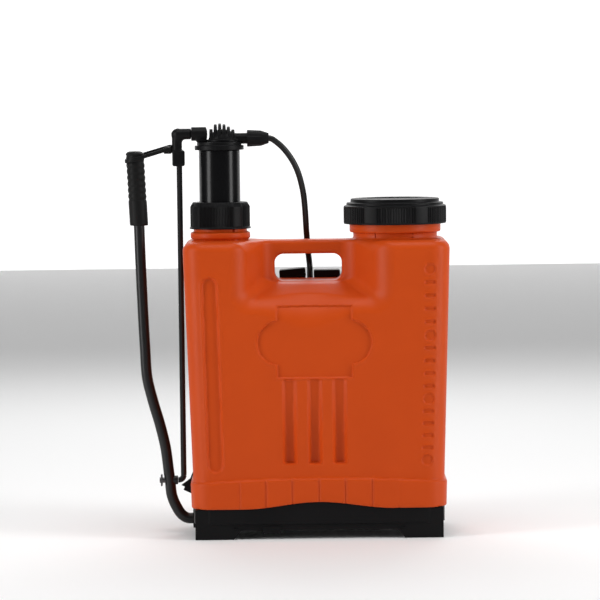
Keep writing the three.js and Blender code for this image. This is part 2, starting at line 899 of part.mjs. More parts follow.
// The domed outlet cap with parallel fins, and its side spigot for the hose.
const capRadius = 20.5;
const spigotRise = 16.5;
function makeOutletCap(group) {
  const foot = headFoot + 11.7 + fit;
  const dome = turned(
    [
      [0, foot],
      [capRadius + 3, foot],
      [capRadius + 1, foot + 3],
      [capRadius - 1, foot + 7],
      [capRadius - 5, foot + 12],
      [capRadius - 12, foot + 16],
      [0, foot + 17],
    ],
    fineSides,
    5,
    0,
  );
  const fins = [];
  for (let i = 0; i < finCount; i += 1) {
    const x = 5 + (i - (finCount - 1) / 2) * finPitch - 0.8;
    const half = Math.sqrt(Math.max(9, (capRadius - 1) ** 2 - (x - 5) ** 2));
    const rise = [19, 26, 27, 26, 22.5, 18][i];
    const outline = polygon([
      [-half, foot + 2],
      [half, foot + 2],
      [half * 0.86, foot + rise * 0.62],
      [half * 0.45, foot + rise * 0.93],
      [0, foot + rise],
      [-half * 0.45, foot + rise * 0.93],
      [-half * 0.86, foot + rise * 0.62],
    ]);
    fins.push(fin(outline, x - 1.5, x + 1.5));
  }
  const z = headFoot + spigotRise;
  const spigot = bar(point(10, 0, z), point(40, 0, z), 7.85, smallSides);
  const flangeTop = turned([[0, headFoot], [32 + fit, headFoot], [32 + fit, foot], [0, foot]]);
  add(group, "outlet_cap", cut(joined([dome, ...fins, spigot]), [flangeTop]), look.black);
}

function makeCrosshead(group) {
  const foot = headFoot + 11.7 + fit;
  const left = crossX - pumpX + 0.3;
  const right = left + 24;
  const z = crossZ;
  const boss = bar(point(left, 0, z), point(right, 0, z), 10, 24);
  const post = box(left + 7.5, right, -8, 8, foot, z);
  const bore = bar(point(left - 1, 0, z), point(right - 5, 0, z), 5 + running, smallSides);
  const keepOff = turned([[0, 0], [capRadius + 3.6, 0], [capRadius + 3.6, z + 30], [0, z + 30]], 32, 5, 0);
  add(group, "crosshead", cut(boss.add(post), [bore, keepOff]), look.black);
}

function makePump() {
  const group = groupAt(pumpX, 0, 0);
  const roof = makePumpCylinder(group);
  makeCollarNut(group, roof);
  makeChamber(group);
  makeOutletCap(group);
  makeCrosshead(group);
}

// ---- link: elbow and rod -----------------------------------------------------
const lug = { x0: rodX - 22, x1: rodX - 10, z: headFoot + 0.7, radius: 5.35 };
const socket = { top: headFoot + 0.3, foot: headFoot - 22.7, half: 9, x: rodX - 1 };

function makeLink() {
  const group = groupAt(0, 0, 0);
  const limbX = rodX - 3;
  const limb = 7.4;
  const elbow = joined([
    bar(point(limbX, 0, crossZ), point(crossX - fit, 0, crossZ), 7.85),
    solid(new THREE.SphereGeometry(7.85, 16, 8).translate(limbX + 0.3, 0, crossZ)),
    bar(point(limbX, 0, crossZ), point(limbX, 0, socket.top - 1), limb),
    bar(point(crossX - 1, 0, crossZ), point(crossX + 17, 0, crossZ), 5),
    box(socket.x - socket.half, socket.x + socket.half, -7.5, 7.5, socket.foot, socket.top),
    bar(point(lug.x1 + 4, 0, lug.z), point(lug.x0, 0, lug.z), 3.6, 10),
    bar(point(lug.x0, 0, lug.z), point(lug.x0 + 3, 0, lug.z), lug.radius),
  ]);
  const boreTop = socket.top + 4;
  const bore = bar(point(rodX, 0, socket.foot - 1), point(rodX, 0, boreTop), rodRadius + fit, smallSides);
  add(group, "link_elbow", cut(elbow, [bore]), look.black);
  const path = [point(rodX, 0, boreTop - fit), point(rodX, 0, linkHeight + rodBend + 30)];
  for (let i = 0; i <= 4; i += 1) {
    const angle = (i * Math.PI) / 8;
    const x = rodX - rodBend * (1 - Math.cos(angle));
    path.push(point(x, 0, linkHeight + rodBend * (1 - Math.sin(angle))));
  }
  path.push(point(rodX - rodBend - 0.8, 0, linkHeight));
  const straight = bar(path[0], path[2], rodRadius, smallSides);
  const bend = tube(path.slice(2), rodRadius, 8, smallSides);
  add(group, "connecting_rod", straight.add(bend), look.tube);
}

// ---- lever -------------------------------------------------------------------
const gripFoot = headFoot - gripLength;
const gripFootX = -(halfTop + gripOutboard);
const pinHole = { x0: -(halfTop + 38), x1: -(halfTop + 13.3) };

function leverLine() {
  const kneeHeight = 227;
  const straight = [
    [0, 56],
    [0.19, 58.4],
    [0.39, 60.3],
    [0.65, 62.3],
    [0.83, 63.5],
    [1, gripOutboard],
  ];
  const upper = straight.map(([share, outboard]) =>
    point(-(halfTop + outboard), 0, kneeHeight + share * (gripFoot - kneeHeight)),
  );
  const lower = [
    [48, 192],
    [38.4, 158],
    [30.6, 123],
    [26.6, 89],
    [25, linkHeight],
    [22.6, 54.5],
    [15.6, 37],
    [8.6, 26.6],
    [0.5, axleHeight + 0.5],
    [-6, axleHeight],
    [-18, axleHeight],
  ].map(([outboard, z]) => point(-(halfTop + outboard), 0, z));
  const inGrip = [0.86, 0.55, 0.25].map((share) =>
    point(gripFootX - gripLean * share, 0, gripFoot + gripLength * share),
  );
  const axleEnd = point(innerBearingX + 13, 0, axleHeight);
  return [...inGrip, ...upper.reverse(), ...lower, point(-halfTop + 45, 0, axleHeight), axleEnd];
}

function makeLever() {
  const group = groupAt(0, 0, 0);
  const line = leverLine();
  const pipe = tube(line, leverRadius, 32, 10, leverRadius - leverWall);
  const middle = point(-(halfTop + 25.8), 0, linkHeight);
  const weldedBush = cut(crossBar(middle.x, pinHole.x1, linkHeight, 6.5, smallSides), [
    bar(point(middle.x, 0, linkHeight - 12), point(middle.x, 0, linkHeight + 12), leverRadius - 0.8, 10),
  ]);
  const hole = crossBar(pinHole.x0, pinHole.x1 + 5, linkHeight, rodRadius + fit, smallSides);
  add(group, "lever_tube", cut(pipe.add(weldedBush), [hole]), look.tube);
  const pin = crossBar(pinHole.x0 - 2, pinHole.x1, linkHeight, rodRadius, smallSides);
  const clipX = -(halfTop + 37);
  const clipEdge = roundedRectangle(clipX - 1.2, clipX + 1.2, linkHeight - 8.5, linkHeight + 8.5, 1.1);
  const clip = slab(clipEdge, -6, 6, 3);
  const clipHole = crossBar(clipX - 4, clipX + 4, linkHeight, rodRadius + fit, smallSides);
  add(group, "link_pin", pin, look.steel);
  add(group, "link_clip", cut(clip, [clipHole]), look.steel);
  const endX = innerBearingX + 9;
  const collar = cut(crossBar(endX - 1.5, endX + 1.5, axleHeight, 12, smallSides), [
    crossBar(endX - 3, endX + 3, axleHeight, leverRadius + running, smallSides),
  ]);
  add(group, "axle_clip", collar, look.steel);
}

function makeGrip() {
  const profile = [
    [leverRadius + 0.7, 0],
    [gripRadius, 0],
    [gripRadius - 0.6, 6],
    [gripRadius - 1.4, 14],
    [gripRadius - 0.8, gripLength - gripRibs * gripRibPitch - 6],
  ];
  for (let i = 0; i < gripRibs; i += 1) {
    const foot = gripLength - 3 - (gripRibs - i) * gripRibPitch;
    profile.push([gripRadius - 2.2, foot + 1]);
    profile.push([gripRadius, foot + gripRibPitch / 2]);
  }
  profile.push([gripRadius - 2, gripLength]);
  profile.push([0, gripLength]);
  profile.push([0, gripLength * 0.88]);
  profile.push([leverRadius + 0.7, gripLength * 0.88]);
  const group = groupAt(gripFootX, 0, gripFoot);
  group.rotation.y = -Math.atan(gripLean / gripLength);
  add(group, "lever_grip", turned(profile, smallSides), look.rubber);
}

// The rubber band that holds the raised lever: over the lug's neck and round the grip.
function makeRetainingBand() {
  const lugSide = lug.x0 + 7;
  const gripX = gripFootX - gripLean * 0.9;
  const gripHeight = headFoot - 11;
  const span = lugSide - gripX;
  const rise = lug.z + 6.2 - gripHeight;
  const length = Math.hypot(span, rise);
  const outline = teardrop(0, gripRadius + 4.2, length - 5, 8.2);
  const inner = teardrop(0, gripRadius + 1.8, length - 5, 5.8);
  outline.holes.push(inner);
  const group = groupAt(gripX, 0, gripHeight);
  group.rotation.y = -Math.atan2(rise, span);
  add(group, "retaining_band", plate(outline, -1.7, 1.7, 8), look.rubber);
}

// ---- hose --------------------------------------------------------------------
const coilY = back + hoseStandOff + hoseRadius * (coilTurnsDeep - 1);
const hoseNut = { x0: pumpX + 40 + fit, x1: pumpX + 70.2, z: headFoot + spigotRise };

// From the pump's outlet, behind the hand bar, over the tank's back edge and down to the coil.
const upperRoute = [
  [-66.9, 0, 571.7],
  [-62.5, 0.2, 570.9],
  [-56.5, 1.2, 566.8],
  [-48, 3, 559.5],
  [-38.5, 6, 548],
  [-30.5, 10, 535],
  [-24.8, 14, 522],
  [-20.5, 19, 507],
  [-17.2, 24, 490],
  [-15.4, 29, 472],
  [-14.4, 33, 455],
  [-13.6, 36, 438],
  [-12.4, 42, 419],
  [-11.2, 54, 403],
  [-9.8, 69, 390],
  [-9, 84, 380],
  [-8.7, 96.5, 362],
  [-8, 99.5, 338],
  [-3, 99.5, 316],
  [12, 99.5, 297],
  [36, 99, 284],
  [64, 98.5, 277],
  [92, 98.2, 266],
  [111, 98, 243],
  [118.4, 98, 214],
  [118.5, 98, 200],
];
// From the coil to the foot of the lance.
const lowerRoute = [
  [70, 106.8, 151.5],
  [50, 106.6, 151.3],
  [28, 106.2, 150.9],
  [6, 105.8, 150.5],
  [-14, 105.4, 149.6],
  [-32, 105.2, 145],
  [-48, 105, 134],
  [-58, 105, 118],
  [-62.5, 105, 100],
  [-66, 105, 82],
  [-75, 105, 62],
  [-90, 105, 50],
  [-106, 105, 48],
  [-121, 105, 54],
  [-132, 105, 64],
  [-137, 105, 75],
  [-138, 105, 84.4],
];

function coilBody(grow) {
  const half = hoseRadius * coilTurnsDeep + 0.4 + grow;
  const inner = coilRadius - hoseRadius - grow;
  const outer = coilRadius + hoseRadius + grow;
  const edge = 3;
  const profile = [
    [inner + edge, -half],
    [outer - edge, -half],
    [outer, -half + edge],
    [outer, half - edge],
    [outer - edge, half],
    [inner + edge, half],
    [inner, half - edge],
    [inner, -half + edge],
  ].map(([r, y]) => new THREE.Vector2(r, y));
  const geometry = new THREE.LatheGeometry([...profile, profile[0]], fineSides);
  return solid(geometry.translate(coilX, coilY, coilZ));
}

function makeHose() {
  const group = groupAt(0, 0, 0);
  const toPoints = (route) => route.map(([x, y, z]) => point(x, y, z));
  const upper = tube(toPoints(upperRoute), hoseRadius, 34, 8);
  const lower = tube(toPoints(lowerRoute), hoseRadius, 18, 8);
  add(group, "hose_upper", cut(upper, [coilBody(fit)]), look.rubber);
  add(group, "hose_coil", coilBody(0), look.rubber);
  add(group, "hose_lower", cut(lower, [coilBody(fit)]), look.rubber);
  const { x0, x1, z } = hoseNut;
  const nut = joined([
    bar(point(x0, 0, z), point(x0 + 7, 0, z), hoseNutRadius, smallSides),
    bar(point(x0 + 7, 0, z), point(x1, 0, z), hoseNutRadius - 1, 24, 8.5),
  ]);
  add(group, "hose_nut", nut, look.black);
}

// ---- lance -------------------------------------------------------------------
const triggerPivot = { x: -17, z: lanceFoot + 18 + triggerLength - 14 };

function makeLance() {
  const group = groupAt(lanceX, lanceY, 0);
  const bodyFoot = lanceFoot + 18 + fit;
  const bodyTop = bodyFoot + triggerLength;
  const tailNut = turned(
    [
      [0, lanceFoot],
      [8, lanceFoot],
      [9.5, lanceFoot + 3],
      [9.5, lanceFoot + 18],
      [0, lanceFoot + 18],
    ],
    smallSides,
  );
  add(group, "hose_tail_nut", tailNut, look.black);
  const handle = turned(
    [
      [0, bodyFoot],
      [10, bodyFoot],
      [12.5, bodyFoot + 12],
      [12, bodyFoot + 50],
      [11, bodyTop - 40],
      [11.5, bodyTop - 28],
      [11.5, bodyTop - 4],
      [9, bodyTop],
      [0, bodyTop],
    ],
    smallSides,
  );
  const { x, z } = triggerPivot;
  const cheek = slab(roundedRectangle(x - 6, -5, z - 7, z + 7, 5), -7.5, 7.5, 4);
  const slot = box(x - 8, -12.2, -4 - fit, 4 + fit, z - 30, z + 9);
  const pinHole = bar(point(x, -12, z), point(x, 12, z), 2 + fit, 12);
  add(group, "trigger_body", cut(handle.add(cheek), [slot, pinHole]), look.black);
  const leverOutline = new THREE.Shape();
  leverOutline.absarc(x, z, 4.6, -0.2, Math.PI + 0.3);
  leverOutline.quadraticCurveTo(x - 8, z - 40, x - 14, z - 82);
  leverOutline.lineTo(x - 9.5, z - 83);
  leverOutline.quadraticCurveTo(x - 2, z - 40, x + 4.2, z - 4);
  const leverPlate = slab(leverOutline, -4, 4, 10);
  const leverBore = bar(point(x, -9, z), point(x, 9, z), 2 + fit, 12);
  add(group, "trigger_lever", cut(leverPlate, [leverBore]), look.black);
  add(group, "trigger_pin", bar(point(x, -7.5, z), point(x, 7.5, z), 2, 12), look.steel);
  const lockOutline = roundedRectangle(-15.7, -13.2, bodyFoot + 22, bodyFoot + 50, 1.2);
  add(group, "lock_clip", slab(lockOutline, -5, 5, 4), look.steel);
  const nutTop = bodyTop + fit + 18;
  const lanceNut = turned(
    [
      [0, bodyTop + fit],
      [10.5, bodyTop + fit],
      [10.5, nutTop - 4],
      [7, nutTop],
      [0, nutTop],
    ],
    smallSides,
  );
  add(group, "lance_nut", lanceNut, look.black);
  const tubeFoot = nutTop + fit;
  const tubeTop = tubeFoot + lanceLength;
  add(group, "lance_tube", plug(lanceRadius, tubeFoot, tubeTop, smallSides), look.tube);
  const bodyEnd = tubeTop + fit + 15;
  const nozzleBody = turned(
    [
      [0, tubeTop + fit],
      [7.5, tubeTop + fit],
      [7.5, bodyEnd],
      [5, bodyEnd],
      [5, bodyEnd + 8],
      [0, bodyEnd + 8],
    ],
    smallSides,
  );
  add(group, "nozzle_body", nozzleBody, look.black);
  const cap = turned(
    [
      [5 + fit, bodyEnd + fit],
      [9.3, bodyEnd + fit],
      [9.3, bodyEnd + 9],
      [6, bodyEnd + 13],
      [0.8, bodyEnd + 13],
      [0.8, bodyEnd + 8 + fit],
      [5 + fit, bodyEnd + 8 + fit],
    ],
    smallSides,
  );
  add(group, "nozzle_cap", cap, look.orange);
  [tubeFoot + 18, tubeFoot + 150].forEach((foot, i) => {
    const gapTo = -lanceStandOff + fit;
    const grip = lanceRadius + fit;
    const mouth = 0.7;
    const arm = new THREE.Shape();
    arm.moveTo(-12, gapTo);
    arm.lineTo(12, gapTo);
    arm.lineTo(12, gapTo + 3);
    arm.lineTo(5, gapTo + 3);
    arm.absarc(0, 0, grip + 3, -1.05, Math.PI / 2 - mouth, false);
    arm.absarc(0, 0, grip, Math.PI / 2 - mouth, Math.PI / 2 + mouth, true);
    arm.absarc(0, 0, grip + 3, Math.PI / 2 + mouth, Math.PI + 1.05, false);
    arm.lineTo(-5, gapTo + 3);
    arm.lineTo(-12, gapTo + 3);
    add(group, "lance_clip_" + (i + 1), plate(arm, foot, foot + 12, 8), look.black);
  });
}

// ---- straps ------------------------------------------------------------------
// Each strap hangs in a slack bow behind the tank, from the opening's floor to the base.
function strapLine(side) {
  const top = opening.floor;
  const startX = side < 0 ? -34.2 : 16;
  const hookX = side < 0 ? -178 : 160;
  const bow = [
    [0, -2.4, 4.6],
    [0, 7, 2],
    [0.01, 15, -10],
    [0.03, 27, -34],
    [0.09, 46, -80],
    [0.2, 60, -135],
    [0.38, 65, -195],
    [0.6, 58, -245],
    [0.8, 40, -282],
    [0.93, 25, -300],
    [1, 18, -307],
  ];
  const points = bow.map(([share, behind, drop]) =>
    point(startX + (hookX - startX) * share, back + behind, top + drop),
  );
  return new THREE.CatmullRomCurve3(points, false, "centripetal");
}

// A flat hook: an eye round the base's stud, an arm for the strap and a pointed beak.
function strapHook(side) {
  const eyeX = side * strapStud.x;
  const eyeZ = strapStud.z;
  const beak = [
    [14, 44],
    [36, 28],
    [31, 25.7],
    [33, 21],
    [18, 14],
  ];
  const reach = side < 0 ? 1 : 0.35; // the right hook has swung in behind the tank
  const outline = polygon([
    [eyeX - side * 9, eyeZ - 8],
    [eyeX + side * 9, eyeZ - 8],
    [eyeX + side * 9, eyeZ + 6],
    ...beak.reverse().map(([out, up]) => [eyeX + side * out * reach, eyeZ + up]),
    [eyeX - side * 4, eyeZ + 38],
    [eyeX - side * 10, eyeZ + 8],
  ]);
  const y0 = baseHalfDepth + 7;
  const eye = bar(
    point(eyeX, y0 - 3, eyeZ),
    point(eyeX, y0 + 9, eyeZ),
    strapStud.radius + running,
    16,
  );
  return cut(slab(outline, y0, y0 + 6), [eye]);
}

function makeStrap(side) {
  const name = side < 0 ? "_left" : "_right";
  const group = groupAt(0, 0, 0);
  const x = side < 0 ? -34.2 : 16;
  const lean = side < 0 ? -0.09 : 0;
  const line = strapLine(side);
  const anchor = roundedRectangle(-strapWidth / 2, strapWidth / 2, 0, 10.5, 3);
  const anchorGroup = groupAt(x, 0, opening.floor + (side < 0 ? 2.4 : 0.5));
  anchorGroup.rotation.y = lean;
  add(anchorGroup, "strap_anchor" + name, slab(anchor, back - 34, back - 4, 4), look.black);
  const pad = strip(line, 0.012, 0.56, strapWidth, padThickness, 18);
  add(group, "shoulder_pad" + name, pad, look.webbing);
  add(group, "strap_web" + name, strip(line, 0.567, 0.97, webWidth, webThickness, 14), look.webbing);
  const frame = stripFrame(line, 0.68);
  const slider = box(-webWidth / 2 - 5, webWidth / 2 + 5, -11, 11, -4, 4);
  const slot = box(-webWidth / 2 - 1.2, webWidth / 2 + 1.2, -12, 12, -2.5, 2.5);
  const place = new THREE.Matrix4().makeBasis(frame.across, frame.along, frame.out.negate());
  const mesh = add(group, "strap_slider" + name, cut(slider, [slot]), look.black);
  mesh.quaternion.setFromRotationMatrix(place);
  mesh.position.copy(frame.at);
  add(group, "strap_hook" + name, strapHook(side), look.black);
}

makeBase();
makeFiller();
makePump();
makeLink();
makeLever();
makeGrip();
makeRetainingBand();
makeHose();
makeLance();
makeStrap(-1);
makeStrap(1);
whole.position.copy(frameShift);

export default whole;
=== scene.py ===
import json
import math
import bpy
import numpy as np
from mathutils import Matrix, Vector


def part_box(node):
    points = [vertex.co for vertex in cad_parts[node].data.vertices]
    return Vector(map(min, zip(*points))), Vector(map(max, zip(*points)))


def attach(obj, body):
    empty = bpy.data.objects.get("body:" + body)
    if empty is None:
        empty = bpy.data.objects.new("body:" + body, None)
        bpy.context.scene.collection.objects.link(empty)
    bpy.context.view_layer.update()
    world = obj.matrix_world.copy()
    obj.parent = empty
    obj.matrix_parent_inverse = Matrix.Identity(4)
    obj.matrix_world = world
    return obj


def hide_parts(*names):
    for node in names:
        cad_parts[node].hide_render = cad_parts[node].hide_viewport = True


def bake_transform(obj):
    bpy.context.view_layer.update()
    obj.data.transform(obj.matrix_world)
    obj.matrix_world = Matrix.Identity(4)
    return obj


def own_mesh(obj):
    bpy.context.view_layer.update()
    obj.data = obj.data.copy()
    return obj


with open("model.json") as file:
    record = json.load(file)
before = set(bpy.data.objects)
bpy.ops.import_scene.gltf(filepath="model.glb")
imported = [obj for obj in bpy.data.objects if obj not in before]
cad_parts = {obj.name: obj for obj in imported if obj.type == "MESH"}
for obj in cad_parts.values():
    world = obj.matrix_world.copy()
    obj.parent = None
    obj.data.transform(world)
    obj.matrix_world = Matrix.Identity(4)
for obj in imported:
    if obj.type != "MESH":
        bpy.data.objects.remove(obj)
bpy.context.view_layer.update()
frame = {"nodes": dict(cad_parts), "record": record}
nodes = frame["nodes"]

# Lengths below are millimetres in the tank's own frame: X 0 and Y 0 are its middle planes, Z 0 the floor.
tankLow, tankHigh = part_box("tank_shell")
tankMiddle = np.array([(tankLow.x + tankHigh.x) / 2, (tankLow.y + tankHigh.y) / 2, 0.0])


def toFrame(points):
    # millimetres in the tank's own frame to metres in the shared frame
    return np.asarray(points, float) * 0.001 + tankMiddle


def localBox(node):
    # the corners of a CAD node's box, in the tank's own frame
    low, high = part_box(node)
    return (np.array(low) - tankMiddle) * 1000, (np.array(high) - tankMiddle) * 1000


# camera, light and floor
stageLook = {
    "cameraSide": -24.0, "cameraBack": -5000.0, "cameraHeight": 660.0,
    "aimHeight": 336.8, "roll": -0.7, "focal": 207.5,
    "floorHalf": 9000, "wallHalf": 12000, "wallBack": 7000, "wallTop": 9000, "paperDrop": -0.3,
    "wallGlow": 0.8, "worldGlow": 0.13, "lampsFace": [0, 0, 300],
    # each lamp: name, place in mm, width and height in m, power in W
    "lamps": [
        ("softLeft", (-2300, -1150, 900), 0.8, 2.0, 36),
        ("softRight", (2300, -950, 1000), 0.8, 2.0, 34),
        ("softTop", (100, -500, 2300), 1.6, 1.2, 20),
        ("softBack", (0, 2000, 1900), 2.0, 1.4, 24),
    ],
}


def makePaper(name, corners, grey, roughness):
    # one big flat sheet of matt paper; returns it with its shader
    mesh = bpy.data.meshes.new(name)
    mesh.from_pydata([tuple(c) for c in toFrame(corners)], [], [(0, 1, 2, 3)])
    sheet = bpy.data.objects.new(name, mesh)
    bpy.context.scene.collection.objects.link(sheet)
    material = bpy.data.materials.new(name + "Paper")
    material.use_nodes = True
    shader = material.node_tree.nodes["Principled BSDF"]
    shader.inputs["Base Color"].default_value = (grey, grey, grey, 1)
    shader.inputs["Roughness"].default_value = roughness
    mesh.materials.append(material)
    return sheet, shader


def makeBackdrop():
    # a white wall far behind, lit evenly by its own glow
    look = stageLook
    half, back, foot, top = look["wallHalf"], look["wallBack"], look["paperDrop"], look["wallTop"]
    corners = [[-half, back, foot], [half, back, foot], [half, back, top], [-half, back, top]]
    backdrop, shader = makePaper("backdrop", corners, 0.9, 0.95)
    shader.inputs["Emission Color"].default_value = (1, 1, 1, 1)
    shader.inputs["Emission Strength"].default_value = look["wallGlow"]
    return backdrop


def makeFloor():
    half, foot = stageLook["floorHalf"], stageLook["paperDrop"]
    corners = [[-half, -half, foot], [half, -half, foot], [half, half, foot], [-half, half, foot]]
    return makePaper("floor", corners, 0.93, 0.9)[0]


def makeStage():
    look = stageLook
    camera = bpy.data.cameras.new("camera")
    camera.lens = look["focal"]
    camera.clip_end = 30
    cameraObject = bpy.data.objects.new("camera", camera)
    bpy.context.scene.collection.objects.link(cameraObject)
    place = Vector(toFrame([look["cameraSide"], look["cameraBack"], look["cameraHeight"]]))
    aim = Vector(toFrame([look["cameraSide"], 0, look["aimHeight"]]))
    turn = (aim - place).to_track_quat("-Z", "Y").to_matrix().to_4x4()
    roll = Matrix.Rotation(math.radians(look["roll"]), 4, "Z")
    cameraObject.matrix_world = Matrix.Translation(place) @ turn @ roll
    bpy.context.scene.camera = cameraObject
    target = Vector(toFrame(look["lampsFace"]))
    for name, at, width, height, power in look["lamps"]:
        lamp = bpy.data.lights.new(name, "AREA")
        lamp.shape = "RECTANGLE"
        lamp.size = width
        lamp.size_y = height
        lamp.energy = power
        lampObject = bpy.data.objects.new(name, lamp)
        bpy.context.scene.collection.objects.link(lampObject)
        here = Vector(toFrame(at))
        lampObject.location = here
        lampObject.rotation_euler = (target - here).to_track_quat("-Z", "Y").to_euler()
    world = bpy.data.worlds.new("studio")
    bpy.context.scene.world = world
    world.use_nodes = True
    background = world.node_tree.nodes["Background"]
    background.inputs["Color"].default_value = (1, 1, 1, 1)
    background.inputs["Strength"].default_value = look["worldGlow"]
    bpy.context.scene.view_settings.view_transform = "Standard"
    floor = makeFloor()
    makeBackdrop()


makeStage()
print("stage ready")


# mesh helpers
creaseAngle = 42.0  # degrees; a sharper edge than this is drawn as an edge


def addMesh(name, points, quads, triangles=None, smoothAngle=creaseAngle):
    # arrays of corners into one mesh, turned right side out by its signed volume
    points = np.asarray(points, float).reshape(-1, 3)
    quads = np.asarray(quads, np.int64).reshape(-1, 4)
    triangles = np.asarray([] if triangles is None else triangles, np.int64).reshape(-1, 3)
    split = np.concatenate([quads[:, [0, 1, 2]], quads[:, [0, 2, 3]], triangles])
    a, b, c = points[split[:, 0]], points[split[:, 1]], points[split[:, 2]]
    if np.einsum("ij,ij->i", a, np.cross(b, c)).sum() < 0:
        quads = quads[:, ::-1]
        triangles = triangles[:, ::-1]
    mesh = bpy.data.meshes.new(name)
    mesh.vertices.add(len(points))
    mesh.vertices.foreach_set("co", toFrame(points).astype(np.float32).ravel())
    loops = np.concatenate([quads.ravel(), triangles.ravel()])
    sizes = np.concatenate([np.full(len(quads), 4), np.full(len(triangles), 3)])
    starts = np.concatenate([[0], np.cumsum(sizes)[:-1]])
    mesh.loops.add(len(loops))
    mesh.loops.foreach_set("vertex_index", loops.astype(np.int32))
    mesh.polygons.add(len(sizes))
    mesh.polygons.foreach_set("loop_start", starts.astype(np.int32))
    mesh.update(calc_edges=True)
    mesh.validate()
    mesh.polygons.foreach_set("use_smooth", np.ones(len(mesh.polygons), bool))
    mesh.set_sharp_from_angle(angle=math.radians(smoothAngle))
    piece = bpy.data.objects.new(name, mesh)
    bpy.context.scene.collection.objects.link(piece)
    return piece


def gridPiece(name, grid, wrapRows=False, smoothAngle=creaseAngle):
    # grid[i, j] is corner j of the closed ring at station i; fans close the ends, or the stations wrap round
    rows, sides = grid.shape[:2]
    index = np.arange(rows * sides).reshape(rows, sides)
    nextSide = np.roll(index, -1, axis=1)
    if wrapRows:
        nextRow = np.roll(index, -1, axis=0)
        nextBoth = np.roll(nextSide, -1, axis=0)
        quads = np.stack([index, nextSide, nextBoth, nextRow], -1).reshape(-1, 4)
        return addMesh(name, grid, quads, smoothAngle=smoothAngle)
    quads = np.stack([index[:-1], nextSide[:-1], nextSide[1:], index[1:]], -1).reshape(-1, 4)
    points = np.concatenate([grid.reshape(-1, 3), [grid[0].mean(0), grid[-1].mean(0)]])
    first, last = rows * sides, rows * sides + 1
    startFan = np.stack([nextSide[0], index[0], np.full(sides, first)], -1)
    endFan = np.stack([index[-1], nextSide[-1], np.full(sides, last)], -1)
    return addMesh(name, points, quads, np.concatenate([startFan, endFan]), smoothAngle)


def softProfile(corners, radius=0.8, steps=4, closed=False):
    # each corner of a polyline becomes a short parabola that starts and ends within radius of it
    corners = np.asarray(corners, float)
    before = np.roll(corners, 1, axis=0)
    after = np.roll(corners, -1, axis=0)
    toBefore, toAfter = before - corners, after - corners
    lengthBefore = np.linalg.norm(toBefore, axis=1, keepdims=True)
    lengthAfter = np.linalg.norm(toAfter, axis=1, keepdims=True)
    reach = np.minimum(radius, 0.45 * np.minimum(lengthBefore, lengthAfter))
    start = corners + toBefore / lengthBefore * reach
    end = corners + toAfter / lengthAfter * reach
    t = np.linspace(0, 1, steps + 1)[None, :, None]
    arcs = (1 - t) ** 2 * start[:, None] + 2 * t * (1 - t) * corners[:, None] + t**2 * end[:, None]
    if closed:
        return arcs.reshape(-1, 2)
    return np.concatenate([corners[:1], arcs[1:-1].reshape(-1, 2), corners[-1:]])


def revolve(name, profile, centre, axis="z", sides=96, closed=False, radiusAt=None, lean=None):
    # a profile of [radius, height] carried round an axis; radiusAt(angle, height, radius) may swell it
    profile = np.asarray(profile, float)
    angle = np.linspace(0, 2 * np.pi, sides, endpoint=False)[None, :]
    radius = np.repeat(profile[:, :1], sides, 1)
    height = np.repeat(profile[:, 1:], sides, 1)
    if radiusAt is not None:
        radius = radius + radiusAt(angle, height, radius)
    u, v = radius * np.cos(angle), radius * np.sin(angle)
    grid = np.stack([u, v, height], -1) if axis == "z" else np.stack([height, u, v], -1)
    if lean is not None:
        grid = grid + height[..., None] * np.asarray(lean, float)
    return gridPiece(name, grid + np.asarray(centre, float), wrapRows=closed)


def smoothLine(points, spacing):
    # centripetal Catmull-Rom through the points, then evenly spaced by length
    points = np.asarray(points, float)
    ends = np.concatenate([[2 * points[0] - points[1]], points, [2 * points[-1] - points[-2]]])
    knots = np.concatenate([[0], np.cumsum(np.sqrt(np.linalg.norm(np.diff(ends, axis=0), axis=1)))])
    pieces = []
    for i in range(1, len(ends) - 2):
        t = np.linspace(knots[i], knots[i + 1], 24, endpoint=i == len(ends) - 3)[:, None]
        p0, p1, p2, p3 = ends[i - 1 : i + 3]
        t0, t1, t2, t3 = knots[i - 1 : i + 3]
        a1 = (t1 - t) / (t1 - t0) * p0 + (t - t0) / (t1 - t0) * p1
        a2 = (t2 - t) / (t2 - t1) * p1 + (t - t1) / (t2 - t1) * p2
        a3 = (t3 - t) / (t3 - t2) * p2 + (t - t2) / (t3 - t2) * p3
        b1 = (t2 - t) / (t2 - t0) * a1 + (t - t0) / (t2 - t0) * a2
        b2 = (t3 - t) / (t3 - t1) * a2 + (t - t1) / (t3 - t1) * a3
        pieces.append((t2 - t) / (t2 - t1) * b1 + (t - t1) / (t2 - t1) * b2)
    line = np.concatenate(pieces)
    run = np.concatenate([[0], np.cumsum(np.linalg.norm(np.diff(line, axis=0), axis=1))])
    stations = np.linspace(0, run[-1], max(2, int(round(run[-1] / spacing)) + 1))
    return np.stack([np.interp(stations, run, line[:, k]) for k in range(3)], -1)


def sweepTube(name, line, radius, sides):
    # circles of one radius across a line, each turned from the one before with no twist
    line = np.asarray(line, float)
    tangent = np.gradient(line, axis=0)
    tangent /= np.linalg.norm(tangent, axis=1, keepdims=True)
    side = np.cross(tangent[0], [0.31, 0.9, 0.2])  # any direction that the line doesn't start along
    across = []
    for direction in tangent:
        side = side - direction * np.dot(side, direction)
        side /= np.linalg.norm(side)
        across.append(side)
    across = np.array(across)
    other = np.cross(tangent, across)
    angle = np.linspace(0, 2 * np.pi, sides, endpoint=False)[None, :, None]
    grid = line[:, None] + radius * (np.cos(angle) * across[:, None] + np.sin(angle) * other[:, None])
    return gridPiece(name, grid)


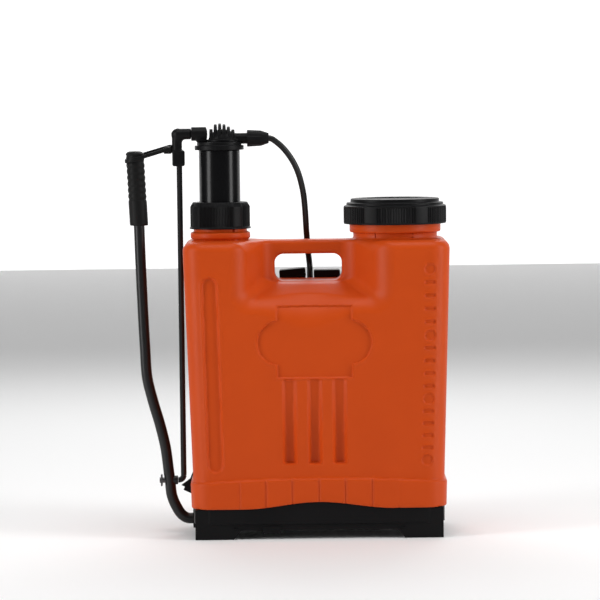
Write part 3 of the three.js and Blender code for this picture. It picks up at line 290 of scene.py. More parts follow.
def sweepStrip(name, line, width, thickness, sides, power, puff=None):
    # a superellipse section, |u|^power + |v|^power = 1, with its wide side kept level across the line
    tangent = np.gradient(line, axis=0)
    tangent /= np.linalg.norm(tangent, axis=1, keepdims=True)
    across = np.array([1.0, 0, 0]) - tangent * tangent[:, :1]
    across /= np.linalg.norm(across, axis=1, keepdims=True)
    out = np.cross(tangent, across)
    angle = np.linspace(0, 2 * np.pi, sides, endpoint=False)
    u = np.sign(np.cos(angle)) * np.abs(np.cos(angle)) ** (2 / power)
    v = np.sign(np.sin(angle)) * np.abs(np.sin(angle)) ** (2 / power)
    u = u[None, :, None]
    v = np.repeat(v[None, :, None], len(line), 0)
    if puff is not None:
        v = v * puff(np.linspace(0, 1, len(line))[:, None, None], u)
    grid = line[:, None] + u * width / 2 * across[:, None] + v * thickness / 2 * out[:, None]
    return gridPiece(name, grid, smoothAngle=60.0)


def roundMax(a, b, radius):
    # the higher of two distances, with the edge between them rounded
    corner = np.sqrt(np.maximum(a + radius, 0) ** 2 + np.maximum(b + radius, 0) ** 2)
    return np.minimum(-radius, np.maximum(a, b)) + corner


def roundMin(a, b, radius):
    # the lower of two distances, with the corner between them filled
    return -roundMax(-a, -b, radius)


def ramp(value):
    # 0 below 0, 1 above 1, and an S curve between
    t = np.clip(value, 0, 1)
    return t * t * (3 - 2 * t)


def roundedBox(x, y, z, centre, half, radius):
    # distance to a box whose edges are rounded to a radius
    qx = np.abs(x - centre[0]) - half[0] + radius
    qy = np.abs(y - centre[1]) - half[1] + radius
    qz = np.abs(z - centre[2]) - half[2] + radius
    outside = np.sqrt(np.maximum(qx, 0) ** 2 + np.maximum(qy, 0) ** 2 + np.maximum(qz, 0) ** 2)
    return outside + np.minimum(np.maximum(qx, np.maximum(qy, qz)), 0) - radius


def rodField(x, y, z, start, end, radius):
    # distance to a round bar between two points, its flat ends eased by 0.7
    start, end = np.asarray(start, float), np.asarray(end, float)
    axis = (end - start) / np.linalg.norm(end - start)
    dx, dy, dz = x - start[0], y - start[1], z - start[2]
    along = dx * axis[0] + dy * axis[1] + dz * axis[2]
    away = np.sqrt(np.maximum(dx**2 + dy**2 + dz**2 - along**2, 0))
    length = np.linalg.norm(end - start)
    return roundMax(away - radius, np.abs(along - length / 2) - length / 2, 0.7)


def evenAxis(low, high, step):
    # even places from low to high, with two steps more at each end
    return np.linspace(low - 2 * step, high + 2 * step, int((high - low) / step) + 5)


def moulded(name, field, axes, keepTriangles=None):
    # the surface where a distance field is 0: one corner in each cell that it crosses, drawn onto it
    spans = [axis.astype(np.float32) for axis in axes]
    gx, gy, gz = np.meshgrid(*spans, indexing="ij")
    value = field(gx, gy, gz).astype(np.float32)
    del gx, gy, gz
    shape = np.array(value.shape) - 1
    total = np.zeros((*shape, 3), np.float32)
    count = np.zeros(tuple(shape), np.float32)
    crossings = []
    for axis in range(3):
        first = np.take(value, np.arange(value.shape[axis] - 1), axis)
        second = np.take(value, np.arange(1, value.shape[axis]), axis)
        where = np.argwhere((first < 0) != (second < 0))
        a = first[tuple(where.T)]
        b = second[tuple(where.T)]
        share = a / (a - b)
        crossings.append((axis, where, a < 0))
        place = np.stack([spans[k][where[:, k]] for k in range(3)], -1)
        place[:, axis] += share * np.diff(spans[axis])[where[:, axis]]
        u, v = [k for k in range(3) if k != axis]
        for du in (0, -1):
            for dv in (0, -1):
                cell = where.copy()
                cell[:, u] += du
                cell[:, v] += dv
                good = ((cell >= 0) & (cell < shape)).all(1)
                np.add.at(total, tuple(cell[good].T), place[good])
                np.add.at(count, tuple(cell[good].T), 1)
    active = np.argwhere(count > 0)
    number = np.full(tuple(shape), -1, np.int64)
    number[tuple(active.T)] = np.arange(len(active))
    points = total[tuple(active.T)] / count[tuple(active.T)][:, None]
    points = points.astype(float)
    quads = []
    for axis, where, leaving in crossings:
        u, v = [k for k in range(3) if k != axis]
        ring = []
        for du, dv in ((0, 0), (-1, 0), (-1, -1), (0, -1)):
            cell = where.copy()
            cell[:, u] += du
            cell[:, v] += dv
            ring.append(number[tuple(cell.T)])
        ring = np.stack(ring, -1)
        flip = leaving if axis != 1 else ~leaving
        ring[flip] = ring[flip][:, ::-1]
        quads.append(ring)
    quads = np.concatenate(quads)
    e = 0.05  # half the step that the slope is read over
    leastSlope, longestMove = 0.05, 0.6
    for _ in range(3):
        x, y, z = points.T
        here = field(x, y, z)
        slope = np.stack([
            field(x + e, y, z) - field(x - e, y, z),
            field(x, y + e, z) - field(x, y - e, z),
            field(x, y, z + e) - field(x, y, z - e),
        ], -1) / (2 * e)
        steep = np.maximum((slope**2).sum(1), leastSlope)
        move = slope * (here / steep)[:, None]
        length = np.linalg.norm(move, axis=1, keepdims=True)
        points = points - move * np.minimum(1, longestMove / np.maximum(length, 1e-9))
    piece = addMesh(name, points, quads)
    if keepTriangles and 2 * len(quads) > keepTriangles:
        thin = piece.modifiers.new("thin", "DECIMATE")
        thin.ratio = keepTriangles / (2 * len(quads))
        applyModifiers(piece)
        piece.data.set_sharp_from_angle(angle=math.radians(creaseAngle))
    return piece


def applyModifiers(piece):
    # the mesh as its modifiers leave it becomes the piece's own
    evaluated = piece.evaluated_get(bpy.context.evaluated_depsgraph_get())
    mesh = bpy.data.meshes.new_from_object(evaluated)
    piece.modifiers.clear()
    piece.data = mesh


# materials
def surfaceGroup():
    # moulded skin: fine pebble, slow ripple and smudges, as masks and a height
    group = bpy.data.node_groups.new("mouldedSkin", "ShaderNodeTree")
    starts = {"Pebble": 900.0, "Ripple": 14.0, "Pebble Share": 0.3,
              "Base Roughness": 0.4, "Roughness Swing": 0.08}
    for name, value in starts.items():
        socket = group.interface.new_socket(name, in_out="INPUT", socket_type="NodeSocketFloat")
        socket.default_value = value
    for name in ("Height", "Roughness", "Tint"):
        group.interface.new_socket(name, in_out="OUTPUT", socket_type="NodeSocketFloat")
    tree = group.nodes
    link = group.links.new
    enter = tree.new("NodeGroupInput")
    leave = tree.new("NodeGroupOutput")
    place = tree.new("ShaderNodeTexCoord")
    pebble = tree.new("ShaderNodeTexNoise")
    ripple = tree.new("ShaderNodeTexNoise")
    smudge = tree.new("ShaderNodeTexNoise")
    pebble.inputs["Detail"].default_value = 2
    ripple.inputs["Detail"].default_value = 3
    smudge.inputs["Detail"].default_value = 6
    smudge.inputs["Scale"].default_value = 38
    for noise in (pebble, ripple, smudge):
        link(place.outputs["Object"], noise.inputs["Vector"])
    link(enter.outputs["Pebble"], pebble.inputs["Scale"])
    link(enter.outputs["Ripple"], ripple.inputs["Scale"])
    blend = tree.new("ShaderNodeMix")
    blend.data_type = "FLOAT"
    link(enter.outputs["Pebble Share"], blend.inputs["Factor"])
    link(ripple.outputs["Fac"], blend.inputs["A"])
    link(pebble.outputs["Fac"], blend.inputs["B"])
    link(blend.outputs["Result"], leave.inputs["Height"])
    middle = tree.new("ShaderNodeMath")
    middle.operation = "SUBTRACT"
    middle.inputs[1].default_value = 0.5
    swing = tree.new("ShaderNodeMath")
    swing.operation = "MULTIPLY_ADD"
    link(smudge.outputs["Fac"], middle.inputs[0])
    link(middle.outputs[0], swing.inputs[0])
    link(enter.outputs["Roughness Swing"], swing.inputs[1])
    link(enter.outputs["Base Roughness"], swing.inputs[2])
    link(swing.outputs[0], leave.inputs["Roughness"])
    link(ripple.outputs["Fac"], leave.inputs["Tint"])
    return group


skin = surfaceGroup()


def makeMaterial(name, colour, shade, roughness, swing=0.1, pebble=900.0, share=0.3, bump=0.15,
                 distance=0.0004, metallic=0.0, sheen=0.0, specular=0.5):
    # colour and shade are the light and dark of one finish, mixed by the skin's slow ripple
    material = bpy.data.materials.new(name)
    material.use_nodes = True
    tree = material.node_tree
    shader = tree.nodes["Principled BSDF"]
    skinNode = tree.nodes.new("ShaderNodeGroup")
    skinNode.node_tree = skin
    skinNode.inputs["Pebble"].default_value = pebble
    skinNode.inputs["Ripple"].default_value = 14.0
    skinNode.inputs["Pebble Share"].default_value = share
    skinNode.inputs["Base Roughness"].default_value = roughness
    skinNode.inputs["Roughness Swing"].default_value = swing
    mix = tree.nodes.new("ShaderNodeMix")
    mix.data_type = "RGBA"
    mix.inputs["A"].default_value = (*colour, 1)
    mix.inputs["B"].default_value = (*shade, 1)
    tree.links.new(skinNode.outputs["Tint"], mix.inputs["Factor"])
    tree.links.new(mix.outputs["Result"], shader.inputs["Base Color"])
    tree.links.new(skinNode.outputs["Roughness"], shader.inputs["Roughness"])
    bumpNode = tree.nodes.new("ShaderNodeBump")
    bumpNode.inputs["Strength"].default_value = bump
    bumpNode.inputs["Distance"].default_value = distance
    tree.links.new(skinNode.outputs["Height"], bumpNode.inputs["Height"])
    tree.links.new(bumpNode.outputs["Normal"], shader.inputs["Normal"])
    shader.inputs["Metallic"].default_value = metallic
    shader.inputs["Sheen Weight"].default_value = sheen
    shader.inputs["Specular IOR Level"].default_value = specular
    return material


def weaveMaterial():
    # plain weave: sine waves along X and up Z, multiplied, on Object coordinates
    material = makeMaterial("wovenStrap", (0.009, 0.009, 0.01), (0.014, 0.014, 0.015), 0.85,
                            sheen=0.04, specular=0.15)
    tree = material.node_tree
    place = tree.nodes.new("ShaderNodeTexCoord")
    waves = []
    for direction in ("X", "Z"):
        wave = tree.nodes.new("ShaderNodeTexWave")
        wave.bands_direction = direction
        wave.inputs["Scale"].default_value = 330.0
        wave.inputs["Distortion"].default_value = 0.4
        tree.links.new(place.outputs["Object"], wave.inputs["Vector"])
        waves.append(wave)
    product = tree.nodes.new("ShaderNodeMath")
    product.operation = "MULTIPLY"
    tree.links.new(waves[0].outputs["Fac"], product.inputs[0])
    tree.links.new(waves[1].outputs["Fac"], product.inputs[1])
    bump = next(n for n in tree.nodes if n.bl_idname == "ShaderNodeBump")
    bump.inputs["Strength"].default_value = 0.5
    bump.inputs["Distance"].default_value = 0.0006
    tree.links.new(product.outputs[0], bump.inputs["Height"])
    return material


# light colour, dark colour and roughness of each finish
finish = {
    "tank_orange": makeMaterial("orangeTank", (0.60, 0.070, 0.006), (0.54, 0.060, 0.005), 0.42,
                                bump=0.12, specular=0.16),
    "black_plastic": makeMaterial("blackPlastic", (0.0045, 0.0045, 0.005), (0.008, 0.008, 0.0085), 0.40,
                                  bump=0.25, pebble=1500.0, share=0.6, distance=0.0003, specular=0.1),
    "chamber_gloss": makeMaterial("blackGloss", (0.003, 0.003, 0.0035), (0.005, 0.005, 0.0055), 0.21,
                                  swing=0.06, pebble=60.0, bump=0.04, specular=0.2),
    "rubber": makeMaterial("blackRubber", (0.004, 0.004, 0.004), (0.007, 0.007, 0.0068), 0.5,
                           bump=0.3, specular=0.15, pebble=1800.0, share=0.7),
    "hose_rubber": makeMaterial("hoseRubber", (0.005, 0.005, 0.0055), (0.008, 0.008, 0.008), 0.34,
                                bump=0.1, specular=0.35),
    "webbing": weaveMaterial(),
    "lever_paint": makeMaterial("powderCoat", (0.005, 0.005, 0.0055), (0.008, 0.008, 0.0085), 0.33,
                                bump=0.2, specular=0.35, pebble=2600.0, share=0.8, distance=0.0002),
    "steel": makeMaterial("darkSteel", (0.12, 0.12, 0.125), (0.08, 0.08, 0.082), 0.36,
                          metallic=1.0, swing=0.2),
    "valve_ball": makeMaterial("polishedBall", (0.72, 0.72, 0.73), (0.66, 0.66, 0.67), 0.1,
                               metallic=1.0, bump=0.02),
    "pale_plastic": makeMaterial("paleAcetal", (0.76, 0.74, 0.67), (0.7, 0.68, 0.6), 0.45),
    "nozzle_orange": makeMaterial("orangeCap", (0.60, 0.068, 0.0085), (0.54, 0.058, 0.007), 0.4),
}
slotOf = {part["node"]: part["material_slot"] for part in frame["record"]["subparts"]}
bodyOf = {node: body for body, names in frame["record"]["behaviour"]["bodies"].items() for node in names}
for node, cadPiece in nodes.items():
    cadPiece.data.materials.clear()
    cadPiece.data.materials.append(finish[slotOf[node]])


def settle(piece, *stands, body=None):
    # gives a piece its finish, lets it ride with the body of the node it stands for, and hides that node
    slot = slotOf[stands[0]]
    piece.data.materials.clear()
    piece.data.materials.append(finish[slot])
    if body != "none":
        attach(piece, body or bodyOf[stands[0]])
    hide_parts(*stands)
    return piece


print("materials ready")


# tank
tankLook = {
    "topHalf": 191.0, "footHalf": 181.0, "depthHalf": 89.0, "top": 425.0, "corner": 28.0,
    "shoulder": 13.0, "barHalf": 22.0, "fillerX": 114.7, "pumpX": -138.0,
    "openLeft": -60.0, "openRight": 37.0, "openFloor": 366.0, "openTop": 405.0, "openCorner": 13,
    "bandTop": 80.4, "bandBow": 6.6, "bandProud": 3.9, "bandGrooves": (-114, -76, -38, 0, 38, 76, 114),
    "footEdge": 43.7, "archHalf": 107, "archHeight": 4.8,
    "fillerNeck": 60.5, "fillerCollar": 65.8, "fillerBore": 57,
    "pumpNeck": 38.3, "pumpCollar": 43.1, "pumpBore": 34.6,
}
frontMarks = {
    "channels": (-40.8, -4.6, 30.8), "channelHalf": 10.7, "channelFoot": 107, "channelTop": 231,
    "panelMiddle": (-3.95, 282.2), "panelHalf": (53.65, 50.8), "lobes": (-54.3, 46.3), "lobeZ": 281.5,
    "lobeRadius": 31.7, "panelDeep": 2.6, "sideGrooveDeep": 3.6, "gaugeDeep": 1.9,
    "rings": [(161.7, 384.6), (161.0, 290.0), (158.0, 199.0), (154.8, 111.6)], "ringRadius": 7.8,
    "dashShares": (0.2, 0.4, 0.6, 0.8), "dashHalf": 5.2, "dashThick": 2.7,
}


def stadium(x, z, x0, z0, x1, z1, half):
    # distance in the front view to a bar with round ends
    dx, dz = x1 - x0, z1 - z0
    t = np.clip(((x - x0) * dx + (z - z0) * dz) / (dx * dx + dz * dz), 0, 1)
    return np.hypot(x - x0 - t * dx, z - z0 - t * dz) - half


def markDepth(x, z):
    # how far the front face is sunk at each place, with a low rim round the panel, groove and gauge marks
    marks = frontMarks
    depth = np.zeros_like(x + z)
    for place in marks["channels"]:
        across = np.clip(1 - np.abs(x - place) / marks["channelHalf"], 0, 1)
        along = ramp((z - marks["channelFoot"]) / 3) * ramp((marks["channelTop"] - z) / 3)
        fall = 3.4 + 4.6 * np.clip((229.5 - z) / 120, 0, 1)
        depth = depth + np.minimum(across * fall * 2.2, fall) * along
    side = stadium(x, z, -147, 107.5, -153, 364.5, 10.5)
    sideRim = 0.6 * np.exp(-(((side - 2.6) / 1.4) ** 2))
    depth = depth + marks["sideGrooveDeep"] * ramp(0.5 - side / 3.2) - sideRim
    (middleX, middleZ), (halfX, halfZ) = marks["panelMiddle"], marks["panelHalf"]
    plate = np.maximum(np.abs(x - middleX) - halfX, np.abs(z - middleZ) - halfZ)
    leftLobe, rightLobe = [np.hypot(x - at, z - marks["lobeZ"]) for at in marks["lobes"]]
    panel = roundMin(plate, np.minimum(leftLobe, rightLobe) - marks["lobeRadius"], 1.0)
    depth = depth + marks["panelDeep"] * ramp(0.5 - panel / 1.6) - 0.7 * np.exp(-(((panel - 1.9) / 1.3) ** 2))
    rings, half = marks["rings"], marks["dashHalf"]
    gauge = np.full_like(depth, 99.0)
    for ringX, ringZ in rings:
        gauge = np.minimum(gauge, np.hypot(x - ringX, z - ringZ) - marks["ringRadius"])
    for (x0, z0), (x1, z1) in zip(rings[:-1], rings[1:]):
        for share in marks["dashShares"]:
            dashX, dashZ = x0 + (x1 - x0) * share, z0 + (z1 - z0) * share
            dash = stadium(x, z, dashX - half, dashZ, dashX + half, dashZ, marks["dashThick"])
            gauge = np.minimum(gauge, dash)
    return depth + marks["gaugeDeep"] * ramp(0.5 - gauge / 1.5) - 0.55 * np.exp(-(((gauge - 1.7) / 1.1) ** 2))


def tankField(x, y, z):
    # a rounded box that widens upwards, with its band, pockets, opening, marks and necks put on or cut out
    look = tankLook
    half = look["footHalf"] + (z - 103) * (look["topHalf"] - look["footHalf"]) / 309
    qx, qy = np.abs(x) - half + look["corner"], np.abs(y) - look["depthHalf"] + look["corner"]
    outline = np.hypot(np.maximum(qx, 0), np.maximum(qy, 0)) + np.minimum(np.maximum(qx, qy), 0)
    outline = outline - look["corner"]
    body = roundMax(outline, z - look["top"], look["shoulder"])
    # the band stands proud of the foot, its top edge bowed upwards in the middle
    rise = look["bandTop"] + look["bandBow"] * np.cos(np.clip(x / 190, -1, 1) * np.pi / 2)
    grooves = np.zeros_like(x + y)
    for place in look["bandGrooves"]:
        grooves = grooves + np.exp(-(((x - place) / 1.3) ** 2))
    band = roundMax(outline - look["bandProud"] + 2.0 * grooves * ramp((-y - 40) / 8), z - rise, 2.4)
    body = roundMin(body, band, 2.0)
    bow = look["archHeight"] * (1 + np.cos(np.pi * x / look["archHalf"]))
    arch = look["footEdge"] + np.where(np.abs(x) < look["archHalf"], bow, 0) * ramp((-y - 60) / 5)
    body = roundMax(body, arch - z, 1.6)
    # pockets before and behind the handle bar
    front = np.clip((-y - look["barHalf"]) / 67, 0, 1.1)
    rear = np.clip((y - look["barHalf"]) / 67, 0, 1.1)
    for share, face, splayRight, drop in ((front, -y, 45, 28), (rear, y, 36, 0)):
        left = look["openLeft"] - 12 - 36 * share - x
        right = x - look["openRight"] - 12 - splayRight * share
        floor = look["openFloor"] - drop * share - z
        hollow = roundMax(roundMax(left, right, 4), np.maximum(floor, look["barHalf"] - face), 14)
        softness = 12 + 22 * ramp(1 - np.abs(x + 12) / 75)
        body = roundMax(body, -hollow, 6 + softness * ramp((face - 34) / 34))
    # the hand opening, through the wall between the pockets
    corner = look["openCorner"]
    left, right, floor, top = [look[edge] for edge in ("openLeft", "openRight", "openFloor", "openTop")]
    ox = np.abs(x - (left + right) / 2) - (right - left) / 2 + corner
    oz = np.abs(z - (floor + top) / 2) - (top - floor) / 2 + corner
    hand = np.hypot(np.maximum(ox, 0), np.maximum(oz, 0)) + np.minimum(np.maximum(ox, oz), 0) - corner
    body = roundMax(body, -np.maximum(hand, np.abs(y) - 40), 5)
    body = body + markDepth(x, z) * ramp((-y - 62) / 6)
    # necks, each with its bore
    away = np.hypot(x - look["fillerX"], y)
    filler = np.maximum(roundMax(away - look["fillerNeck"], z - 468, 1.0), 400 - z)
    filler = roundMin(filler, roundMax(away - look["fillerCollar"], np.abs(z - 444.5) - 10, 2.2), 1.5)
    body = roundMin(body, filler, 4.0)
    body = roundMax(body, -np.maximum(away - look["fillerBore"], 375 - z), 0.8)
    away = np.hypot(x - look["pumpX"], y)
    pump = np.maximum(roundMax(away - look["pumpNeck"], z - 466, 1.0), 400 - z)
    pump = roundMin(pump, roundMax(away - look["pumpCollar"], np.abs(z - 432.5) - 4.8, 2.6), 2.0)
    body = roundMin(body, pump, 4.0)
    return np.maximum(body, -np.maximum(away - look["pumpBore"], 60 - z))


def axisOf(*stretches):
    # evenly spaced places in each stretch of (start, end, step), the ends shared
    parts = [np.linspace(a, b, max(2, int(round((b - a) / s)) + 1))[:-1] for a, b, s in stretches]
    return np.concatenate(parts + [[stretches[-1][1]]])


def makeTank():
    # two closed halves that share 2 mm at the middle; cells are small where there are marks
    fine, plain = ((1.55, 2.9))
    acrossX = axisOf((-199, -136, fine), (-136, -112, plain), (-112, 102, fine), (102, 144, plain),
                     (144, 199, fine))
    frontY = axisOf((-97, -56, 2.0), (-56, -30, 3.4), (-30, -14, 2.0), (-14, 4, 3.0))
    rearY = axisOf((-4, 14, 3.0), (14, 30, 2.2), (30, 58, 3.4), (58, 97, 2.2))
    acrossZ = axisOf((40, 56, fine), (56, 76, plain), (76, 472, fine))
    rearX = axisOf((-199, 199, plain))
    rearZ = axisOf((40, 472, plain))

    def frontField(x, y, z):
        return np.maximum(tankField(x, y, z), y - 1)

    def rearField(x, y, z):
        return np.maximum(tankField(x, y, z), -1 - y)

    halves = (("tank_front", frontField, (acrossX, frontY, acrossZ)),
              ("tank_rear", rearField, (rearX, rearY, rearZ)))
    for name, field, axes in halves:
        settle(moulded(name, field, axes, keepTriangles=190000), "tank_shell")


makeTank()
print("tank ready")


# turned pieces
def pads(count, half, first, flat, ribs, ribDepth, low, high):
    # flat pads round a rim, with fine vertical ribs between them
    def swell(angle, height):
        turn = (np.degrees(angle) - first) % (360 / count)
        away = np.minimum(turn, 360 / count - turn)
        onPad = ramp((half + 1.2 - away) / 2.4)
        teeth = -ribDepth * (0.5 + 0.5 * np.cos(ribs * angle)) * (1 - onPad)
        upright = ramp((height - low) / 2) * ramp((high - height) / 2)
        return (teeth + flat * onPad) * upright
    return swell


def makeTurned():
    pump = (tankLook["pumpX"], 0, 0)
    low, high = localBox("collar_nut")
    profile = softProfile([
        [39.8, low[2]], [44.3, low[2]], [44.3, low[2] + 2.2], [43.1, low[2] + 2.6], [43.1, low[2] + 4.6],
        [43.1, high[2] - 9], [43.1, high[2] - 6.5],
        [39.2, high[2]], [30.4, high[2]], [30.4, high[2] - 7], [39.8, high[2] - 7],
    ], 0.7, closed=True)

    def nutRim(angle, height, radius):
        rim = ramp((radius - 41.5) / 1.0)
        return pads(4, 11, -52, 0.9, 120, 0.9, low[2] + 2, high[2] - 3)(angle, height) * rim

    settle(revolve("nut", profile, pump, sides=720, closed=True, radiusAt=nutRim), "collar_nut")
    # the lid: ribbed skirt, two steps and a dished top
    low, _ = localBox("filler_lid")
    profile = softProfile([
        [0.0, 469.6], [63.2, 469.6], [63.2, low[2]], [73.9, low[2]], [73.9, low[2] + 1.2], [73.9, low[2] + 3.2],
        [73.9, 469.8], [73.9, 471.6], [73.9, 472.6], [71.5, 473.2], [70, 474],
        [70, 477.2], [65, 477.6], [64, 478.4], [64, 482.4], [62.5, 483], [59, 483], [55, 480.6], [0.0, 480.0],
    ], 0.8)

    def lidRim(angle, height, radius):
        rim = ramp((radius - 72) / 1.0)
        return pads(6, 8.5, 0, 0.4, 120, 1.3, low[2] + 1, 472)(angle, height) * rim

    lid = revolve("lid", profile, (tankLook["fillerX"], 0, 0), sides=900, radiusAt=lidRim)
    settle(lid, "filler_lid")
    low, high = localBox("air_chamber")
    chamber = softProfile([[0, low[2]], [29.65, low[2]], [29.65, high[2]], [0, high[2]]], 1.2)
    settle(revolve("chamber", chamber, pump, sides=128), "air_chamber")
    head = softProfile([
        [0, 553], [29, 553], [29, 555.5], [35.4, 555.7], [35.4, 562], [32.2, 562.3], [32, 567], [0, 567],
    ], 0.7)
    settle(revolve("head", head, pump, sides=128), "chamber_head")
    low, high = localBox("hose_nut")
    profile = softProfile([
        [low[0], 8.2], [low[0], 12.1], [low[0] + 3, 12.1], [low[0] + 20, 11.2], [high[0] - 4, 9.2],
        [high[0] + 1.4, 7.4], [high[0] + 1.4, 4.6],
    ], 0.6, closed=True)[:, ::-1]

    def nutFlutes(angle, height, radius):
        flute = -0.55 * (0.5 + 0.5 * np.cos(18 * angle))
        return flute * ramp((radius - 8) / 1.5) * ramp((high[0] - 8 - height) / 3)

    nut = revolve("hose_nut_skin", profile, (0, 0, 571.8), axis="x", sides=216, closed=True, radiusAt=nutFlutes)
    settle(nut, "hose_nut")
    # the grip: plain lower half, round ribs above, a domed end
    foot, radius = 447.3, 13.3
    heights = np.concatenate([[0, 0.4, 1.4], np.linspace(3, 104, 220), [105.5, 106.8, 107.7, 108]])
    ribbed = ramp((heights - 34) / 4) * ramp((105 - heights) / 3)
    wave = (0.5 - 0.5 * np.cos((heights - 38) / 9 * 2 * np.pi)) ** 0.6
    rim = radius - 1.0 * ribbed * (1 - wave)
    rim[:3] -= [2.2, 0.9, 0.2]
    rim[-4:] = [11.9, 10.4, 7.5, 0.0]
    rim[0] = 8.2
    profile = np.concatenate([[[0.0, 0.0]], np.stack([rim, heights], -1)])
    grip = revolve("grip", profile, (-255.4, 0, foot), sides=96, lean=(-0.0454, 0, 0))
    settle(grip, "lever_grip")


makeTurned()
print("turned pieces ready")


# lever, link and head
def leverPath():
    # from inside the grip down a slightly bowed limb, round the low bend and along the axle
    foot, knee = 447.3, 227.0
    inGrip = [[-255.4 - 4.9 * share, 0, foot + 108 * share] for share in (0.86, 0.55, 0.25)]
    straight = [[0, 56], [0.19, 58.4], [0.39, 60.3], [0.65, 62.3], [0.83, 63.5], [1, 64.4]]
    upper = [[-191 - out, 0, knee + share * (foot - knee)] for share, out in straight][::-1]
    lower = [[48, 192], [38.4, 158], [30.6, 123], [26.6, 89], [25, 77], [22.6, 54.5], [15.6, 37], [8.6, 26.6],
             [0.5, 21.5], [-6, 21], [-18, 21]]
    _, high = localBox("lever_tube")
    ends = [[-146.0, 0, 21], [high[0], 0, 21]]
    return smoothLine(inGrip + upper + [[-191 - out, 0, z] for out, z in lower] + ends, 2.5)


def makeLever():
    tube = sweepTube("lever", leverPath(), 7.8, sides=40)
    settle(tube, "lever_tube")
    bush = softProfile([[0, -216.8], [6.4, -216.8], [6.4, -204.3], [0, -204.3]], 0.8)
    collar = revolve("lever_bush", bush, (0, 0, 77), axis="x", sides=48)
    collar.data.materials.append(finish["lever_paint"])
    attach(collar, bodyOf["lever_tube"])


def elbowField(x, y, z):
    # two bars blended at a ball, a cup below them, a knob to the left, a pin to the right, and the rod's bore
    limb = rodField(x, y, z, (-199, 0, 579), (-178.8, 0, 579), 7.85)
    drop = rodField(x, y, z, (-199, 0, 581), (-199, 0, 553), 7.3)
    knee = np.sqrt((x + 198.8) ** 2 + y**2 + (z - 579) ** 2) - 7.9
    shape = roundMin(roundMin(limb, drop, 5), knee, 2)
    cup = roundedBox(x, y, z, (-197, 0, 544.1), (9, 7.5, 11.5), 3.0)
    shape = roundMin(shape, cup, 2.5)
    neck = rodField(x, y, z, (-216, 0, 556), (-200, 0, 556), 3.6)
    knob = rodField(x, y, z, (-218, 0, 556), (-207.5, 0, 556), 5.35)
    shape = roundMin(shape, roundMin(neck, knob, 0.8), 1.5)
    pin = rodField(x, y, z, (-180, 0, 579), (-161.5, 0, 579), 5.0)
    shape = np.minimum(shape, pin)
    return np.maximum(shape, -np.maximum(np.hypot(x + 196, y) - 4.5, z - 559))


def domeField(x, y, z):
    # a low dome with six upright fins across it, and the spigot for the hose
    away = np.hypot(x + 133, y)
    rise = np.sqrt(np.clip(1 - (away / 21.2) ** 2, 0, 1))
    dome = roundMax(away - 21.0, z - 567.3 - 18.0 * rise, 3.0) * 0.8
    dome = np.maximum(dome, 567.3 - z)
    step = np.maximum(away - 23.4, np.abs(z - 569) - 1.7)
    shape = roundMin(dome, step, 1.0)
    for i, top in enumerate((586.0, 592.8, 593.9, 592.8, 589.4, 585.0)):
        at = -133 + (i - 2.5) * 6.3 - 0.8
        half = np.sqrt(max(9.0, 19.5**2 - (at + 133) ** 2))
        fall = np.abs(y) / half
        crest = top - (top - 569) * (0.30 * fall**2 + 0.55 * np.clip(fall, 0, 1.2) ** 5)
        fin = roundMax(np.abs(x - at) - 2.75 + 0.03 * (z - 569), np.maximum(z - crest, np.abs(y) - half), 0.9)
        shape = roundMin(shape, np.maximum(fin, 567.3 - z), 0.9)
    spigot = rodField(x, y, z, (-128, 0, 571.8), (-96.6, 0, 571.8), 7.85)
    shape = roundMin(shape, spigot, 1.5)
    return shape


def crossField(x, y, z):
    # a round boss blended with a rounded post, cut back round the dome and bored for the pin
    low, high = localBox("crosshead")
    boss = rodField(x, y, z, (low[0], 0, 579), (high[0], 0, 579), 10.0)
    middle, half = ((low[0] + 7.5 + high[0]) / 2, 0, 573), ((high[0] - low[0] - 7.5) / 2, 8, 6)
    post = roundedBox(x, y, z, middle, half, 1.5)
    shape = roundMin(boss, post, 2.0)
    shape = np.maximum(shape, -(np.hypot(x + 133, y) - 24.0))
    return np.maximum(shape, -np.maximum(np.hypot(y, z - 579) - 5.5, x - high[0] + 5))


def makeMoulded():
    # name, field, node, cell size and how far past the node's box the field reaches to the right
    for name, field, node, cell, past in (
        ("elbow", elbowField, "link_elbow", (0.75, 0.75, 0.75), 0),
        ("dome_cap", domeField, "outlet_cap", (0.6, 0.8, 0.6), 2),
        ("crosshead_skin", crossField, "crosshead", (0.75, 0.75, 0.75), 0),
    ):
        low, high = localBox(node)
        high[0] += past
        axes = [evenAxis(low[k], high[k], cell[k]) for k in range(3)]
        settle(moulded(name, field, axes), node)


makeLever()
makeMoulded()
print("lever and head ready")


# hose
hoseLook = {"radius": 4.4, "turns": 2.25, "middle": (70.0, 200.0), "coilRadius": 48.5}
upperRoute = [
    [-66.9, 0, 571.7], [-62.5, 0.2, 570.9], [-56.5, 1.2, 566.8], [-48, 3, 559.5], [-38.5, 6, 548],
    [-30.5, 10, 535], [-24.8, 14, 522], [-20.5, 19, 507], [-17.2, 24, 490], [-15.4, 29, 472], [-14.4, 33, 455],
    [-13.6, 36, 438], [-12.4, 42, 419], [-11.2, 54, 403], [-9.8, 69, 390], [-9, 84, 380], [-8.7, 96.5, 362],
    [-8, 99.5, 338], [-3, 99.5, 316], [12, 99.5, 297], [36, 99, 284], [64, 98.5, 277], [92, 98.2, 266],
    [111, 98, 243], [118.4, 98, 214], [118.5, 98, 200],
]
lowerRoute = [
    [70, 106.8, 151.5], [50, 106.6, 151.3], [28, 106.2, 150.9], [6, 105.8, 150.5], [-14, 105.4, 149.6],
    [-32, 105.2, 145], [-48, 105, 134], [-58, 105, 118], [-62.5, 105, 100], [-66, 105, 82], [-75, 105, 62],
    [-90, 105, 50], [-106, 105, 48], [-121, 105, 54], [-132, 105, 64], [-137, 105, 75], [-138, 105, 84.4],
]


